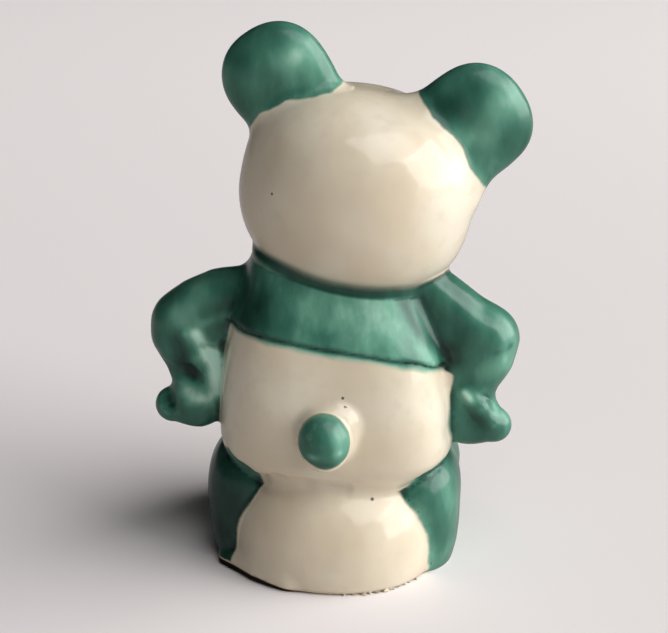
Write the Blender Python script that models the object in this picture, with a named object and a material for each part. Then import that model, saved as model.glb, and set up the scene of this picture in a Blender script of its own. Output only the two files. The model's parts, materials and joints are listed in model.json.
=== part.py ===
"""A glazed earthenware panda, sitting on a rounded mound with its hands on its hips.

The figure is hollow ware: mound, torso and head are slip castings with an even wall, and the
small solid castings (ears, arms, legs, tail) are stuck on with slip before the firing. Each
casting is one object. Metres, +Z up, the face looks along -Y, the figure's left is +X, and the
origin is on the surface that it stands on, under the middle of the figure.
"""

import math

import bmesh
import bpy
from mathutils import Matrix, Vector

MM = 0.001

# The stuck joints and the castings' walls
JOINT_GAP = 0.3 * MM
WALL = 2.6 * MM
OVERLAP = 1.0 * MM

# The mound that the panda sits on
MOUND_CENTRE = (-0.7 * MM, 0.2 * MM)
MOUND_HALF_WIDTH = 14.4 * MM
MOUND_HALF_DEPTH = 15.4 * MM
MOUND_HEIGHT = 13.4 * MM
MOUND_SQUARENESS = 2.15
# Each row: share of the mound's height, share of its half width, share of its half depth
MOUND_PROFILE = (
    (0.0, 0.94, 0.94),
    (0.07, 0.98, 0.98),
    (0.24, 1.0, 1.0),
    (0.49, 0.985, 0.975),
    (0.72, 0.94, 0.90),
    (0.90, 0.86, 0.79),
    (1.0, 0.78, 0.69),
)
FOOT_RING_WIDTH = 2.8 * MM
FOOT_RECESS = 0.8 * MM
MOUND_FLOOR = 2.4 * MM
DRAIN_RADIUS = 4.6 * MM

# The torso, from the seam on the mound up to the neck, with the shoulder band standing proud
TORSO_SEAM = MOUND_HEIGHT + JOINT_GAP
TORSO_FOOT_CENTRE = (-0.7 * MM, 0.2 * MM)
TORSO_NECK_CENTRE = (-0.9 * MM, -0.2 * MM)
TORSO_HALF_WIDTH = 15.1 * MM
TORSO_HALF_DEPTH = 13.4 * MM
TORSO_SQUARENESS = 2.5
# Each row: share of the height up to the band, share of the half width, share of the half depth
TORSO_PROFILE = (
    (0.0, 0.835, 0.82),
    (0.18, 1.0, 0.95),
    (0.47, 1.0, 1.0),
    (0.76, 0.965, 0.97),
    (1.0, 0.917, 0.907),
)
BAND_BOTTOM = 18.0 * MM
BAND_STEP = 0.55 * MM
BAND_SWELL = 0.5 * MM
BAND_LEAN = math.radians(7.0)
NECK_HEIGHT = 26.4 * MM
NECK_HALF_WIDTH = 10.8 * MM
NECK_HALF_DEPTH = 9.4 * MM

# The head, in its own frame: a rounded box of a skull, trimmed flat where it sits on the neck
HEAD_LEAN = math.radians(11.5)
HEAD_HALF_WIDTH = 15.1 * MM
HEAD_HALF_DEPTH = 13.5 * MM
HEAD_HALF_HEIGHT = 12.9 * MM
HEAD_SQUARENESS = 2.4
HEAD_PLAN_SQUARENESS = 2.1
HEAD_FLAT = 2.5 * MM
NECK_HOLE_RADIUS = 5.6 * MM
MUZZLE_SIZE = (6.6 * MM, 4.8 * MM, 5.0 * MM)
MUZZLE_DROP = 3.6 * MM
MUZZLE_SINK = 1.4 * MM
NOSE_SIZE = (2.3 * MM, 1.5 * MM, 1.5 * MM)
NOSE_FORWARD = 4.1 * MM
NOSE_RISE = 2.2 * MM

# The ears: thick rounded tabs, dished in front, on the upper corners of the head
LEFT_EAR_ANGLE = math.radians(46.0)
RIGHT_EAR_ANGLE = math.radians(48.5)
EAR_HALF_WIDTH = 7.0 * MM
EAR_HALF_THICKNESS = 3.2 * MM
EAR_WIDEST = 2.6 * MM
EAR_LENGTH = 9.4 * MM
EAR_ROOT_HALF_WIDTH = 6.3 * MM
EAR_ROOT_HALF_THICKNESS = 3.6 * MM
EAR_ROOT_DEPTH = 5.0 * MM
EAR_SET_BACK = 0.3 * MM
EAR_SQUARENESS = 2.2
EAR_ROUNDNESS = 2.3
EAR_RIM_THINNING = 0.8
EAR_DISH_RADIUS = 4.7 * MM
EAR_DISH_DEPTH = 1.4 * MM

# Each arm is a chain of balls joined by tapered rods, from the shoulder to the fingers.
# Each row: distance outside the torso's flank, behind the middle, height above the seam as a
# share of the neck's, radius
LEFT_ARM = (
    (-4.2 * MM, 1.8 * MM, 0.84, 4.9 * MM),
    (6.5 * MM, 1.4 * MM, 0.663, 4.1 * MM),
    (4.3 * MM, 2.0 * MM, 0.43, 3.0 * MM),
    (3.1 * MM, 2.4 * MM, 0.284, 3.5 * MM),
    (6.9 * MM, 2.4 * MM, 0.242, 2.5 * MM),
)
RIGHT_ARM = (
    (-2.6 * MM, 1.8 * MM, 0.848, 4.9 * MM),
    (4.1 * MM, 1.4 * MM, 0.70, 4.4 * MM),
    (2.3 * MM, 2.0 * MM, 0.436, 3.1 * MM),
    (2.5 * MM, 2.6 * MM, 0.277, 3.7 * MM),
    (5.6 * MM, 3.2 * MM, 0.239, 2.2 * MM),
)
# The crook of the arm is filled by an egg: distance outside the flank, behind the middle,
# height above the seam as a share of the neck's, and its three half sizes
CROOK = (1.1 * MM, 1.4 * MM, 0.49)
CROOK_SIZE = (3.2 * MM, 3.0 * MM, 6.4 * MM)

# The legs lie along the mound's sides. First the outer side, as a column of rings.
# Each row: share of the mound's height, distance of its middle inside the mound's flank, how
# far its middle is behind the figure's middle, half width, half depth
LEG_SQUARENESS = 2.3
LEG_ROWS = (
    (0.0, 2.6 * MM, 0.8 * MM, 4.6 * MM, 7.2 * MM),
    (0.22, 2.5 * MM, 1.0 * MM, 5.2 * MM, 8.0 * MM),
    (0.56, 2.6 * MM, 1.4 * MM, 5.6 * MM, 8.5 * MM),
    (0.84, 3.0 * MM, 1.7 * MM, 5.9 * MM, 8.8 * MM),
    (1.06, 3.2 * MM, 1.5 * MM, 5.4 * MM, 8.0 * MM),
    (1.21, 3.4 * MM, 1.0 * MM, 3.8 * MM, 5.8 * MM),
    (1.28, 3.5 * MM, 0.6 * MM, 1.6 * MM, 2.6 * MM),
)
# Then thigh, shin and foot as a chain of balls.
# Each row: distance inside the mound's flank, behind the middle, share of the mound's height,
# radius
LEG_CHAIN = (
    (3.0 * MM, 0.0 * MM, 0.81, 5.5 * MM),
    (2.8 * MM, -8.6 * MM, 0.82, 5.4 * MM),
    (3.5 * MM, -10.6 * MM, 0.34, 4.6 * MM),
    (3.9 * MM, -14.8 * MM, 0.30, 4.3 * MM),
)
# How much further each leg lies inside the mound's flank, and how much further forward
LEFT_LEG_OFFSET = (0.0 * MM, 0.0 * MM)
RIGHT_LEG_OFFSET = (1.2 * MM, 0.8 * MM)

# The tail and the bead of slip that holds it
TAIL_HEIGHT = 8.7 * MM
TAIL_SIZE = (3.0 * MM, 3.5 * MM, 3.5 * MM)
TAIL_STANDOFF = 2.4 * MM
TAIL_STUB_RADIUS = 2.5 * MM
TAIL_BEAD_SPREAD = 1.0 * MM
TAIL_BEAD_RADIUS = 1.0 * MM

# How finely the round forms are cut into facets
SHELL_SEGMENTS = 44
SHELL_STEP = 2.2 * MM
MOUND_STEP = 1.5 * MM
CAVITY_STEP = 3.8 * MM
SKULL_RINGS = 14
CAVITY_SEGMENTS = 24
CAVITY_RINGS = 10
LEG_SEGMENTS = 28
LIMB_SEGMENTS = 20
LIMB_RINGS = 10
LIMB_ARCS = 5
SMALL_SEGMENTS = 16
SMALL_RINGS = 8
EAR_SEGMENTS = 28
EAR_RINGS = 8
BEAD_SEGMENTS = 24
ROUND = 2.0
SHARP_ANGLE = math.radians(40)

CREAM = (0.86, 0.79, 0.66, 1.0)
GREEN = (0.075, 0.26, 0.18, 1.0)


def clear_scene():
    for old in list(bpy.data.objects):
        bpy.data.objects.remove(old, do_unlink=True)


def glaze(name, colour):
    """A shiny lead glaze of one colour."""
    material = bpy.data.materials.new(name)
    material.use_nodes = True
    shader = material.node_tree.nodes["Principled BSDF"]
    shader.inputs["Base Color"].default_value = colour
    shader.inputs["Roughness"].default_value = 0.12
    shader.inputs["Metallic"].default_value = 0.0
    shader.inputs["Coat Weight"].default_value = 0.4
    material.diffuse_color = colour
    return material


def through(rows, height, column):
    """A smooth curve through one column of the rows, read at a height."""
    heights = [row[0] for row in rows]
    values = [row[column] for row in rows]
    last = len(rows) - 1
    height = min(max(height, heights[0]), heights[last])
    k = 0
    while k < last - 1 and height > heights[k + 1]:
        k += 1

    def slope(i):
        before, after = max(i - 1, 0), min(i + 1, last)
        return (values[after] - values[before]) / (heights[after] - heights[before])

    span = heights[k + 1] - heights[k]
    t = (height - heights[k]) / span
    start, end = values[k], values[k + 1]
    return (
        start * (1 + 2 * t) * (1 - t) ** 2
        + end * t * t * (3 - 2 * t)
        + slope(k) * span * t * (1 - t) ** 2
        - slope(k + 1) * span * t * t * (1 - t)
    )


def signed_power(value, power):
    return math.copysign(abs(value) ** power, value)


def ring(centre, height, half_width, half_depth, squareness, lean=0.0, segments=SHELL_SEGMENTS):
    """A level or leaning closed ring of points, an ellipse made a little square."""
    points = []
    for k in range(segments):
        angle = math.tau * k / segments
        x = half_width * signed_power(math.cos(angle), 2 / squareness)
        y = half_depth * signed_power(math.sin(angle), 2 / squareness)
        points.append(Vector((centre[0] + x, centre[1] + y, height + x * math.tan(lean))))
    return points


def skin(bm, rings, closed_loop=False):
    """Quads between neighbouring rings. A ring of one point closes an end."""
    loops = [[bm.verts.new(point) for point in points] for points in rings]
    pairs = list(zip(loops, loops[1:]))
    if closed_loop:
        pairs.append((loops[-1], loops[0]))
    for low, high in pairs:
        count = max(len(low), len(high))
        for k in range(count):
            following = (k + 1) % count
            corners = [low[k % len(low)], low[following % len(low)]]
            corners += [high[following % len(high)], high[k % len(high)]]
            bm.faces.new(list(dict.fromkeys(corners)))


def capped(bm, rings):
    """A closed skin whose first and last rings are filled flat."""
    skin(bm, rings)
    bm.verts.ensure_lookup_table()
    count = len(rings[0])
    bm.faces.new(bm.verts[:count])
    bm.faces.new(bm.verts[-count:])


def finished(name, bm, material=None, helper=False):
    """The bmesh as an object of the scene, its faces turned outwards and shaded smooth."""
    bmesh.ops.recalc_face_normals(bm, faces=bm.faces)
    mesh = bpy.data.meshes.new(name)
    bm.to_mesh(mesh)
    bm.free()
    mesh.shade_smooth()
    mesh.set_sharp_from_angle(angle=SHARP_ANGLE)
    made = bpy.data.objects.new(name, mesh)
    bpy.context.scene.collection.objects.link(made)
    if material:
        mesh.materials.append(material)
    if helper:
        made.hide_render = True
        made.display_type = "WIRE"
    return made


def egg(bm, centre, size, turn=None, segments=LIMB_SEGMENTS, rings=LIMB_RINGS):
    """An ellipsoid of three half sizes."""
    placed = Matrix.Translation(centre) @ (turn or Matrix.Identity(4))
    stretched = placed @ Matrix.Diagonal((*size, 1.0))
    bmesh.ops.create_uvsphere(
        bm, u_segments=segments, v_segments=rings, radius=1.0, matrix=stretched
    )


def limb(bm, start, start_radius, end, end_radius, segments=LIMB_SEGMENTS, arcs=LIMB_ARCS):
    """A tapered rod between two balls, spun from its half outline."""
    axis = end - start
    length = axis.length
    tangent = math.asin((start_radius - end_radius) / length)
    outline = []
    for k in range(arcs + 1):
        angle = -math.pi / 2 + (tangent + math.pi / 2) * k / arcs
        outline.append((start_radius * math.cos(angle), start_radius * math.sin(angle)))
    for k in range(arcs + 1):
        angle = tangent + (math.pi / 2 - tangent) * k / arcs
        outline.append((end_radius * math.cos(angle), length + end_radius * math.sin(angle)))
    outline[0] = (0.0, outline[0][1])
    outline[-1] = (0.0, outline[-1][1])
    turn = axis.to_track_quat("Z", "Y").to_matrix().to_4x4()
    place = Matrix.Translation(start) @ turn
    rings = []
    for radius, height in outline:
        count = 1 if radius == 0.0 else segments
        turns = [math.tau * k / segments for k in range(count)]
        rings.append(
            [place @ Vector((radius * math.cos(a), radius * math.sin(a), height)) for a in turns]
        )
    skin(bm, rings)


def boolean(target, cutter, operation):
    """The cut or join of two objects, kept in the target's mesh."""
    step = target.modifiers.new(operation.title(), "BOOLEAN")
    step.operation = operation
    step.solver = "EXACT"
    step.object = cutter
    depsgraph = bpy.context.evaluated_depsgraph_get()
    cut = bpy.data.meshes.new_from_object(target.evaluated_get(depsgraph))
    target.modifiers.clear()
    old, name = target.data, target.data.name
    target.data = cut
    bpy.data.meshes.remove(old)
    cut.name = name
    cut.shade_smooth()
    cut.set_sharp_from_angle(angle=SHARP_ANGLE)


def joined(name, forms, material):
    """Several closed forms made one solid."""
    whole = None
    for number, form in enumerate(forms):
        bm = bmesh.new()
        form(bm)
        piece = finished(name if whole is None else f"{name}_form_{number}", bm, material)
        if whole is None:
            whole = piece
        else:
            boolean(whole, piece, "UNION")
            bpy.data.objects.remove(piece, do_unlink=True)
    return whole


def torso_centre(height):
    """The middle of the torso at a height above its seam: it leans towards the neck."""
    share = min(max(height / NECK_HEIGHT, 0.0), 1.0)
    share = share * share * (3 - 2 * share)
    return tuple(a + (b - a) * share for a, b in zip(TORSO_FOOT_CENTRE, TORSO_NECK_CENTRE))


def torso_lean(height):
    """How far the section leans sideways at a height above the seam."""
    if height > BAND_BOTTOM:
        share = (height - BAND_BOTTOM) / (NECK_HEIGHT - BAND_BOTTOM)
        return BAND_LEAN + (HEAD_LEAN - BAND_LEAN) * share
    share = height / BAND_BOTTOM
    return BAND_LEAN * share * share * (3 - 2 * share)


def torso_sizes(height, with_step=True):
    """Half width and half depth of the torso at a height above the seam."""
    if height < BAND_BOTTOM or (with_step and height == BAND_BOTTOM):
        share = height / BAND_BOTTOM
        return (
            TORSO_HALF_WIDTH * through(TORSO_PROFILE, share, 1),
            TORSO_HALF_DEPTH * through(TORSO_PROFILE, share, 2),
        )
    share = min((height - BAND_BOTTOM) / (NECK_HEIGHT - BAND_BOTTOM), 1.0)
    swell = BAND_SWELL * math.sin(math.pi * share)
    wide = TORSO_HALF_WIDTH * TORSO_PROFILE[-1][1] + BAND_STEP
    deep = TORSO_HALF_DEPTH * TORSO_PROFILE[-1][2] + BAND_STEP
    return (
        wide + (NECK_HALF_WIDTH - wide) * share + swell,
        deep + (NECK_HALF_DEPTH - deep) * share + swell,
    )


def torso_ring(height, grow=0.0, with_step=True):
    half_width, half_depth = torso_sizes(height, with_step)
    return ring(
        torso_centre(height),
        TORSO_SEAM + height,
        half_width + grow,
        half_depth + grow,
        TORSO_SQUARENESS,
        torso_lean(height),
    )


def stations(first, last, step):
    """Evenly spaced values from first to last, about one step apart."""
    count = max(2, round(abs(last - first) / step))
    return [first + (last - first) * k / count for k in range(count)] + [last]


def torso_outline(grow=0.0):
    """The torso's outer rings, from the seam to the neck, with the band's step between."""
    below = stations(0.0, BAND_BOTTOM, SHELL_STEP)
    above = stations(BAND_BOTTOM, NECK_HEIGHT, SHELL_STEP)
    return [torso_ring(height, grow) for height in below] + [
        torso_ring(height, grow, with_step=False) for height in above
    ]


def mound_ring(height, grow=0.0):
    share = height / MOUND_HEIGHT
    return ring(
        MOUND_CENTRE,
        height,
        MOUND_HALF_WIDTH * through(MOUND_PROFILE, share, 1) + grow,
        MOUND_HALF_DEPTH * through(MOUND_PROFILE, share, 2) + grow,
        MOUND_SQUARENESS,
    )


def mound_outline(grow=0.0):
    """The mound's outer rings, from the ground to the seam."""
    return [mound_ring(height, grow) for height in stations(0.0, MOUND_HEIGHT, MOUND_STEP)]


def level_copy(points, height):
    """A ring's points at another height."""
    return [Vector((point.x, point.y, height)) for point in points]


def build_mound(material):
    """A hollow mound: outer wall, open top, cavity, floor, drain hole and foot ring."""
    bm = bmesh.new()
    rings = mound_outline()
    for height in stations(MOUND_HEIGHT, MOUND_FLOOR + WALL, CAVITY_STEP):
        rings.append(mound_ring(height, -WALL))
    rings.append(level_copy(mound_ring(MOUND_FLOOR, -2 * WALL), MOUND_FLOOR))
    for height in (MOUND_FLOOR, FOOT_RECESS):
        rings.append(ring(MOUND_CENTRE, height, DRAIN_RADIUS, DRAIN_RADIUS, ROUND))
    inside_foot = mound_ring(0.0, -FOOT_RING_WIDTH)
    for height in (FOOT_RECESS, 0.0):
        rings.append(level_copy(inside_foot, height))
    skin(bm, rings, closed_loop=True)
    return finished("seat_mound", bm, material)


def build_torso(material, band_material):
    """A hollow torso, open at the seat and at the neck, with the shoulder band's small step."""
    bm = bmesh.new()
    inner = [
        torso_ring(height, -WALL, with_step=False)
        for height in stations(NECK_HEIGHT, 0.0, CAVITY_STEP)
    ]
    skin(bm, torso_outline() + inner, closed_loop=True)
    torso = finished("torso", bm, material)
    torso.data.materials.append(band_material)
    for face in torso.data.polygons:
        middle = face.center
        height = middle.z - TORSO_SEAM - middle.x * math.tan(BAND_LEAN)
        outside = face.normal.dot(Vector((middle.x, middle.y, middle.length))) > 0
        face.material_index = int(height > BAND_BOTTOM and outside)
    return torso


def head_frame():
    """Head frame: its origin is the skull's middle, and it leans with the neck."""
    neck = Vector((*TORSO_NECK_CENTRE, TORSO_SEAM + NECK_HEIGHT))
    turn = Matrix.Rotation(-HEAD_LEAN, 4, "Y")
    rise = Matrix.Translation((0, 0, JOINT_GAP + HEAD_HALF_HEIGHT - HEAD_FLAT))
    return Matrix.Translation(neck) @ turn @ rise


def skull_rings(grow=0.0, steps=SKULL_RINGS, segments=SHELL_SEGMENTS):
    """Rings of the skull from bottom pole to top pole, in the head frame."""
    width, depth, tall = (
        size + grow for size in (HEAD_HALF_WIDTH, HEAD_HALF_DEPTH, HEAD_HALF_HEIGHT)
    )
    rings = []
    for k in range(steps + 1):
        angle = -math.pi / 2 + math.pi * k / steps
        up = signed_power(math.sin(angle), 2 / HEAD_SQUARENESS)
        out = max(math.cos(angle), 0.0) ** (2 / HEAD_SQUARENESS)
        sizes = (width * out, depth * out)
        if k in (0, steps):
            rings.append([Vector((0, 0, tall * up))])
        else:
            rings.append(
                ring((0, 0), tall * up, *sizes, HEAD_PLAN_SQUARENESS, segments=segments)
            )
    return rings


def build_head(material, neck):
    """Skull, muzzle and nose in one casting, hollow and trimmed flat for the neck."""
    muzzle_middle = Vector((0, -HEAD_HALF_DEPTH + MUZZLE_SINK, -MUZZLE_DROP))
    nose_middle = muzzle_middle + Vector((0, -NOSE_FORWARD, NOSE_RISE))
    head = joined(
        "head",
        (
            lambda bm: skin(bm, skull_rings()),
            lambda bm: egg(bm, muzzle_middle, MUZZLE_SIZE),
            lambda bm: egg(bm, nose_middle, NOSE_SIZE, None, SMALL_SEGMENTS, SMALL_RINGS),
        ),
        material,
    )
    bm = bmesh.new()
    skin(bm, skull_rings(-WALL, CAVITY_RINGS, CAVITY_SEGMENTS))
    cavity = finished("head_cavity_cutter", bm, helper=True)
    trim = half_space("head_trim_cutter", HEAD_FLAT - HEAD_HALF_HEIGHT)
    bm = bmesh.new()
    capped(
        bm,
        [
            ring((0, 0), height, NECK_HOLE_RADIUS, NECK_HOLE_RADIUS, ROUND)
            for height in (-HEAD_HALF_HEIGHT - OVERLAP, -HEAD_HALF_HEIGHT / 2)
        ],
    )
    hole = finished("neck_hole_cutter", bm, helper=True)
    for cutter in (cavity, hole, trim):
        boolean(head, cutter, "DIFFERENCE")
        bpy.data.objects.remove(cutter, do_unlink=True)
    head.parent = neck
    return head


def half_space(name, top):
    """A big block whose upper side lies at a height."""
    bm = bmesh.new()
    side = 10 * MOUND_HALF_DEPTH
    place = Matrix.Translation((0, 0, top - side / 2)) @ Matrix.Scale(side, 4)
    bmesh.ops.create_cube(bm, size=1.0, matrix=place)
    return finished(name, bm, helper=True)


def build_cutters(neck):
    """The outsides of the big castings, grown by the joint gap, to fit the small ones to them."""
    bm = bmesh.new()
    capped(bm, torso_outline(JOINT_GAP))
    torso = finished("torso_cutter", bm, helper=True)
    bm = bmesh.new()
    rings = mound_outline(JOINT_GAP)
    floor = level_copy(rings[0], -OVERLAP)
    roof = level_copy(rings[-1], TORSO_SEAM)
    capped(bm, [floor, *rings, roof])
    mound = finished("mound_cutter", bm, helper=True)
    bm = bmesh.new()
    skin(bm, skull_rings(JOINT_GAP))
    head = finished("head_cutter", bm, helper=True)
    head.parent = neck
    ground = half_space("ground_cutter", 0.0)
    return {"torso": torso, "mound": mound, "head": head, "ground": ground}


def ear_sizes(along):
    """Half width and half thickness of the ear at a distance outside the skull."""
    if along < EAR_WIDEST:
        share = (along + EAR_ROOT_DEPTH) / (EAR_WIDEST + EAR_ROOT_DEPTH)
        share = share * share * (3 - 2 * share)
        return (
            EAR_ROOT_HALF_WIDTH + (EAR_HALF_WIDTH - EAR_ROOT_HALF_WIDTH) * share,
            EAR_ROOT_HALF_THICKNESS + (EAR_HALF_THICKNESS - EAR_ROOT_HALF_THICKNESS) * share,
        )
    share = (along - EAR_WIDEST) / (EAR_LENGTH - EAR_WIDEST)
    rounding = max(1 - share**EAR_ROUNDNESS, 0.0) ** (1 / EAR_ROUNDNESS)
    return EAR_HALF_WIDTH * rounding, EAR_HALF_THICKNESS * rounding**EAR_RIM_THINNING


def build_ear(side, name, angle, material, neck, cutters):
    """A thick ear, dished in front, on the skull's corner. side is 1 on the figure's left."""
    direction = Vector((side * math.sin(angle), 0, math.cos(angle)))
    gauge = (
        (abs(direction.x) / HEAD_HALF_WIDTH) ** HEAD_SQUARENESS
        + (abs(direction.z) / HEAD_HALF_HEIGHT) ** HEAD_SQUARENESS
    ) ** (1 / HEAD_SQUARENESS)
    surface = direction / gauge + Vector((0, EAR_SET_BACK, 0))
    place = Matrix.Translation(surface) @ Matrix.Rotation(side * angle, 4, "Y")
    bm = bmesh.new()
    along = stations(-EAR_ROOT_DEPTH, EAR_WIDEST, SHELL_STEP)
    for k in range(1, EAR_RINGS):
        turn = math.pi / 2 * k / EAR_RINGS
        along.append(EAR_WIDEST + (EAR_LENGTH - EAR_WIDEST) * math.sin(turn))
    rings = [
        ring((0, 0), out, *ear_sizes(out), EAR_SQUARENESS, segments=EAR_SEGMENTS)
        for out in along
    ]
    skin(bm, [*rings, [Vector((0, 0, EAR_LENGTH))]])
    bm.verts.ensure_lookup_table()
    bm.faces.new(bm.verts[:EAR_SEGMENTS])
    bmesh.ops.transform(bm, matrix=place, verts=bm.verts)
    ear = finished(name, bm, material)
    bm = bmesh.new()
    dish_middle = place @ Vector((0, -EAR_HALF_THICKNESS - EAR_DISH_DEPTH, EAR_WIDEST + OVERLAP))
    egg(bm, dish_middle, (EAR_DISH_RADIUS, 2 * EAR_DISH_DEPTH, EAR_DISH_RADIUS))
    dish = finished("ear_dish_cutter", bm, helper=True)
    boolean(ear, dish, "DIFFERENCE")
    bpy.data.objects.remove(dish, do_unlink=True)
    ear.parent = neck
    bpy.context.view_layer.update()
    boolean(ear, cutters["head"], "DIFFERENCE")
    return ear


def torso_side(height, side):
    """Where the torso's flank stands at a height above the seam, on one side."""
    return torso_centre(height)[0] + side * torso_sizes(height, with_step=False)[0]


def chain(rows, place):
    """The rods between neighbouring balls of a chain, each as a form to join."""
    forms = []
    for near, far in zip(rows, rows[1:]):

        def rod(bm, near=near, far=far):
            limb(bm, place(*near[:3]), near[3], place(*far[:3]), far[3])

        forms.append(rod)
    return forms


def build_arm(side, name, rows, material, cutters):
    """Upper arm, forearm and hand on the hip, with the crook filled towards the torso."""

    def place(out, back, share):
        height = share * NECK_HEIGHT
        return Vector((torso_side(height, side) + side * out, back, TORSO_SEAM + height))

    forms = chain(rows, place)
    forms.append(
        lambda bm: egg(bm, place(*CROOK), CROOK_SIZE, None, SMALL_SEGMENTS, SMALL_RINGS)
    )
    arm = joined(name, forms, material)
    for cutter in ("torso", "head"):
        boolean(arm, cutters[cutter], "DIFFERENCE")
    return arm


def mound_side(side):
    """The widest place of the mound's flank on one side."""
    return MOUND_CENTRE[0] + side * MOUND_HALF_WIDTH


def build_leg(side, name, offset, material, cutters):
    """One leg, lying against mound and torso, with its knee and foot in front."""

    def place(inside, back, share):
        across = mound_side(side) - side * (inside + offset[0])
        return Vector((across, back - offset[1], share * MOUND_HEIGHT))

    def column(bm):
        top = LEG_ROWS[-1][0]
        rings = []
        for share in stations(0.0, top, MOUND_STEP / MOUND_HEIGHT):
            inside, back, half_width, half_depth = (
                through(LEG_ROWS, share, number) for number in (1, 2, 3, 4)
            )
            middle = place(inside, back, share)
            rings.append(
                ring(middle, middle.z, half_width, half_depth, LEG_SQUARENESS, 0.0, LEG_SEGMENTS)
            )
        capped(bm, rings)

    leg = joined(name, [column, *chain(LEG_CHAIN, place)], material)
    for cutter in ("torso", "mound", "ground"):
        boolean(leg, cutters[cutter], "DIFFERENCE")
    return leg


def build_tail(material, bead_material, cutters):
    """The tail, an egg on a stub, and the bead of slip round its root."""
    centre = torso_centre(TAIL_HEIGHT)
    back = Vector((centre[0], centre[1] + torso_sizes(TAIL_HEIGHT)[1], TORSO_SEAM + TAIL_HEIGHT))
    middle = back + Vector((0, TAIL_STANDOFF, 0))
    root = back - Vector((0, TAIL_STUB_RADIUS, 0))

    def button(bm, grow=0.0):
        egg(bm, middle, [size + grow for size in TAIL_SIZE], None, SMALL_SEGMENTS)

    def stub(bm, grow=0.0):
        radius = TAIL_STUB_RADIUS + grow
        limb(bm, root, radius, middle, radius, SMALL_SEGMENTS)

    tail = joined("tail", (button, stub), material)
    boolean(tail, cutters["torso"], "DIFFERENCE")
    bm = bmesh.new()
    rings = []
    for k in range(BEAD_SEGMENTS):
        turn = math.tau * k / BEAD_SEGMENTS
        outward = Vector((math.cos(turn), 0, math.sin(turn)))
        core = back + outward * (TAIL_STUB_RADIUS + TAIL_BEAD_SPREAD)
        loop = []
        for j in range(SMALL_RINGS):
            angle = math.tau * j / SMALL_RINGS
            across = outward * math.cos(angle) + Vector((0, math.sin(angle), 0))
            loop.append(core + TAIL_BEAD_RADIUS * across)
        rings.append(loop)
    skin(bm, rings, closed_loop=True)
    bead = finished("tail_slip_bead", bm, bead_material)
    boolean(bead, cutters["torso"], "DIFFERENCE")
    for form in (button, stub):
        bm = bmesh.new()
        form(bm, JOINT_GAP)
        cutter = finished("tail_cutter", bm, helper=True)
        boolean(bead, cutter, "DIFFERENCE")
        bpy.data.objects.remove(cutter, do_unlink=True)
    return tail, bead


def empty(name, matrix):
    made = bpy.data.objects.new(name, None)
    bpy.context.scene.collection.objects.link(made)
    made.matrix_world = matrix
    return made


def stand_on_origin():
    """Moves the whole figure so that the origin lies under the middle of its outer box."""
    bpy.context.view_layer.update()
    points = [
        piece.matrix_world @ vertex.co
        for piece in bpy.context.scene.objects
        if piece.type == "MESH" and not piece.hide_render
        for vertex in piece.data.vertices
    ]
    middle = [(min(p[k] for p in points) + max(p[k] for p in points)) / 2 for k in (0, 1)]
    figure = empty("figure", Matrix.Identity(4))
    for piece in list(bpy.context.scene.objects):
        if piece.parent is None and piece is not figure:
            piece.parent = figure
    figure.location = (-middle[0], -middle[1], 0.0)


def build_panda():
    clear_scene()
    cream = glaze("cream_glaze", CREAM)
    green = glaze("green_glaze", GREEN)
    neck = empty("neck", head_frame())
    cutters = build_cutters(neck)
    bpy.context.view_layer.update()
    build_mound(cream)
    build_torso(cream, green)
    build_head(cream, neck)
    build_ear(1, "left_ear", LEFT_EAR_ANGLE, green, neck, cutters)
    build_ear(-1, "right_ear", RIGHT_EAR_ANGLE, green, neck, cutters)
    build_arm(1, "left_arm", LEFT_ARM, green, cutters)
    build_arm(-1, "right_arm", RIGHT_ARM, green, cutters)
    build_leg(1, "left_leg", LEFT_LEG_OFFSET, green, cutters)
    build_leg(-1, "right_leg", RIGHT_LEG_OFFSET, green, cutters)
    build_tail(green, cream, cutters)
    stand_on_origin()


build_panda()
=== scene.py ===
# %% [markdown]
# # A little glazed panda
#
# The real thing is slip-cast earthenware, 72 mm tall. Its castings were stuck together while the
# clay was still soft, a finger smoothed slip into the joints, green was brushed on, and one shiny
# glaze ran over everything. So there isn't one hard edge on it. Boxes and spheres put side by side
# would show a crease at each joint, and a Boolean leaves a knife edge there.
#
# This lesson sculpts with distances instead. For each casting there is a small function that says
# how far a point is from its skin. Two such distances can be joined softly, as clay is. At the end
# one net is drawn over the places where the distance is nought, and it is cut into the same eleven
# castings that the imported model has.

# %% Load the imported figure
import json
import math

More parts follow.
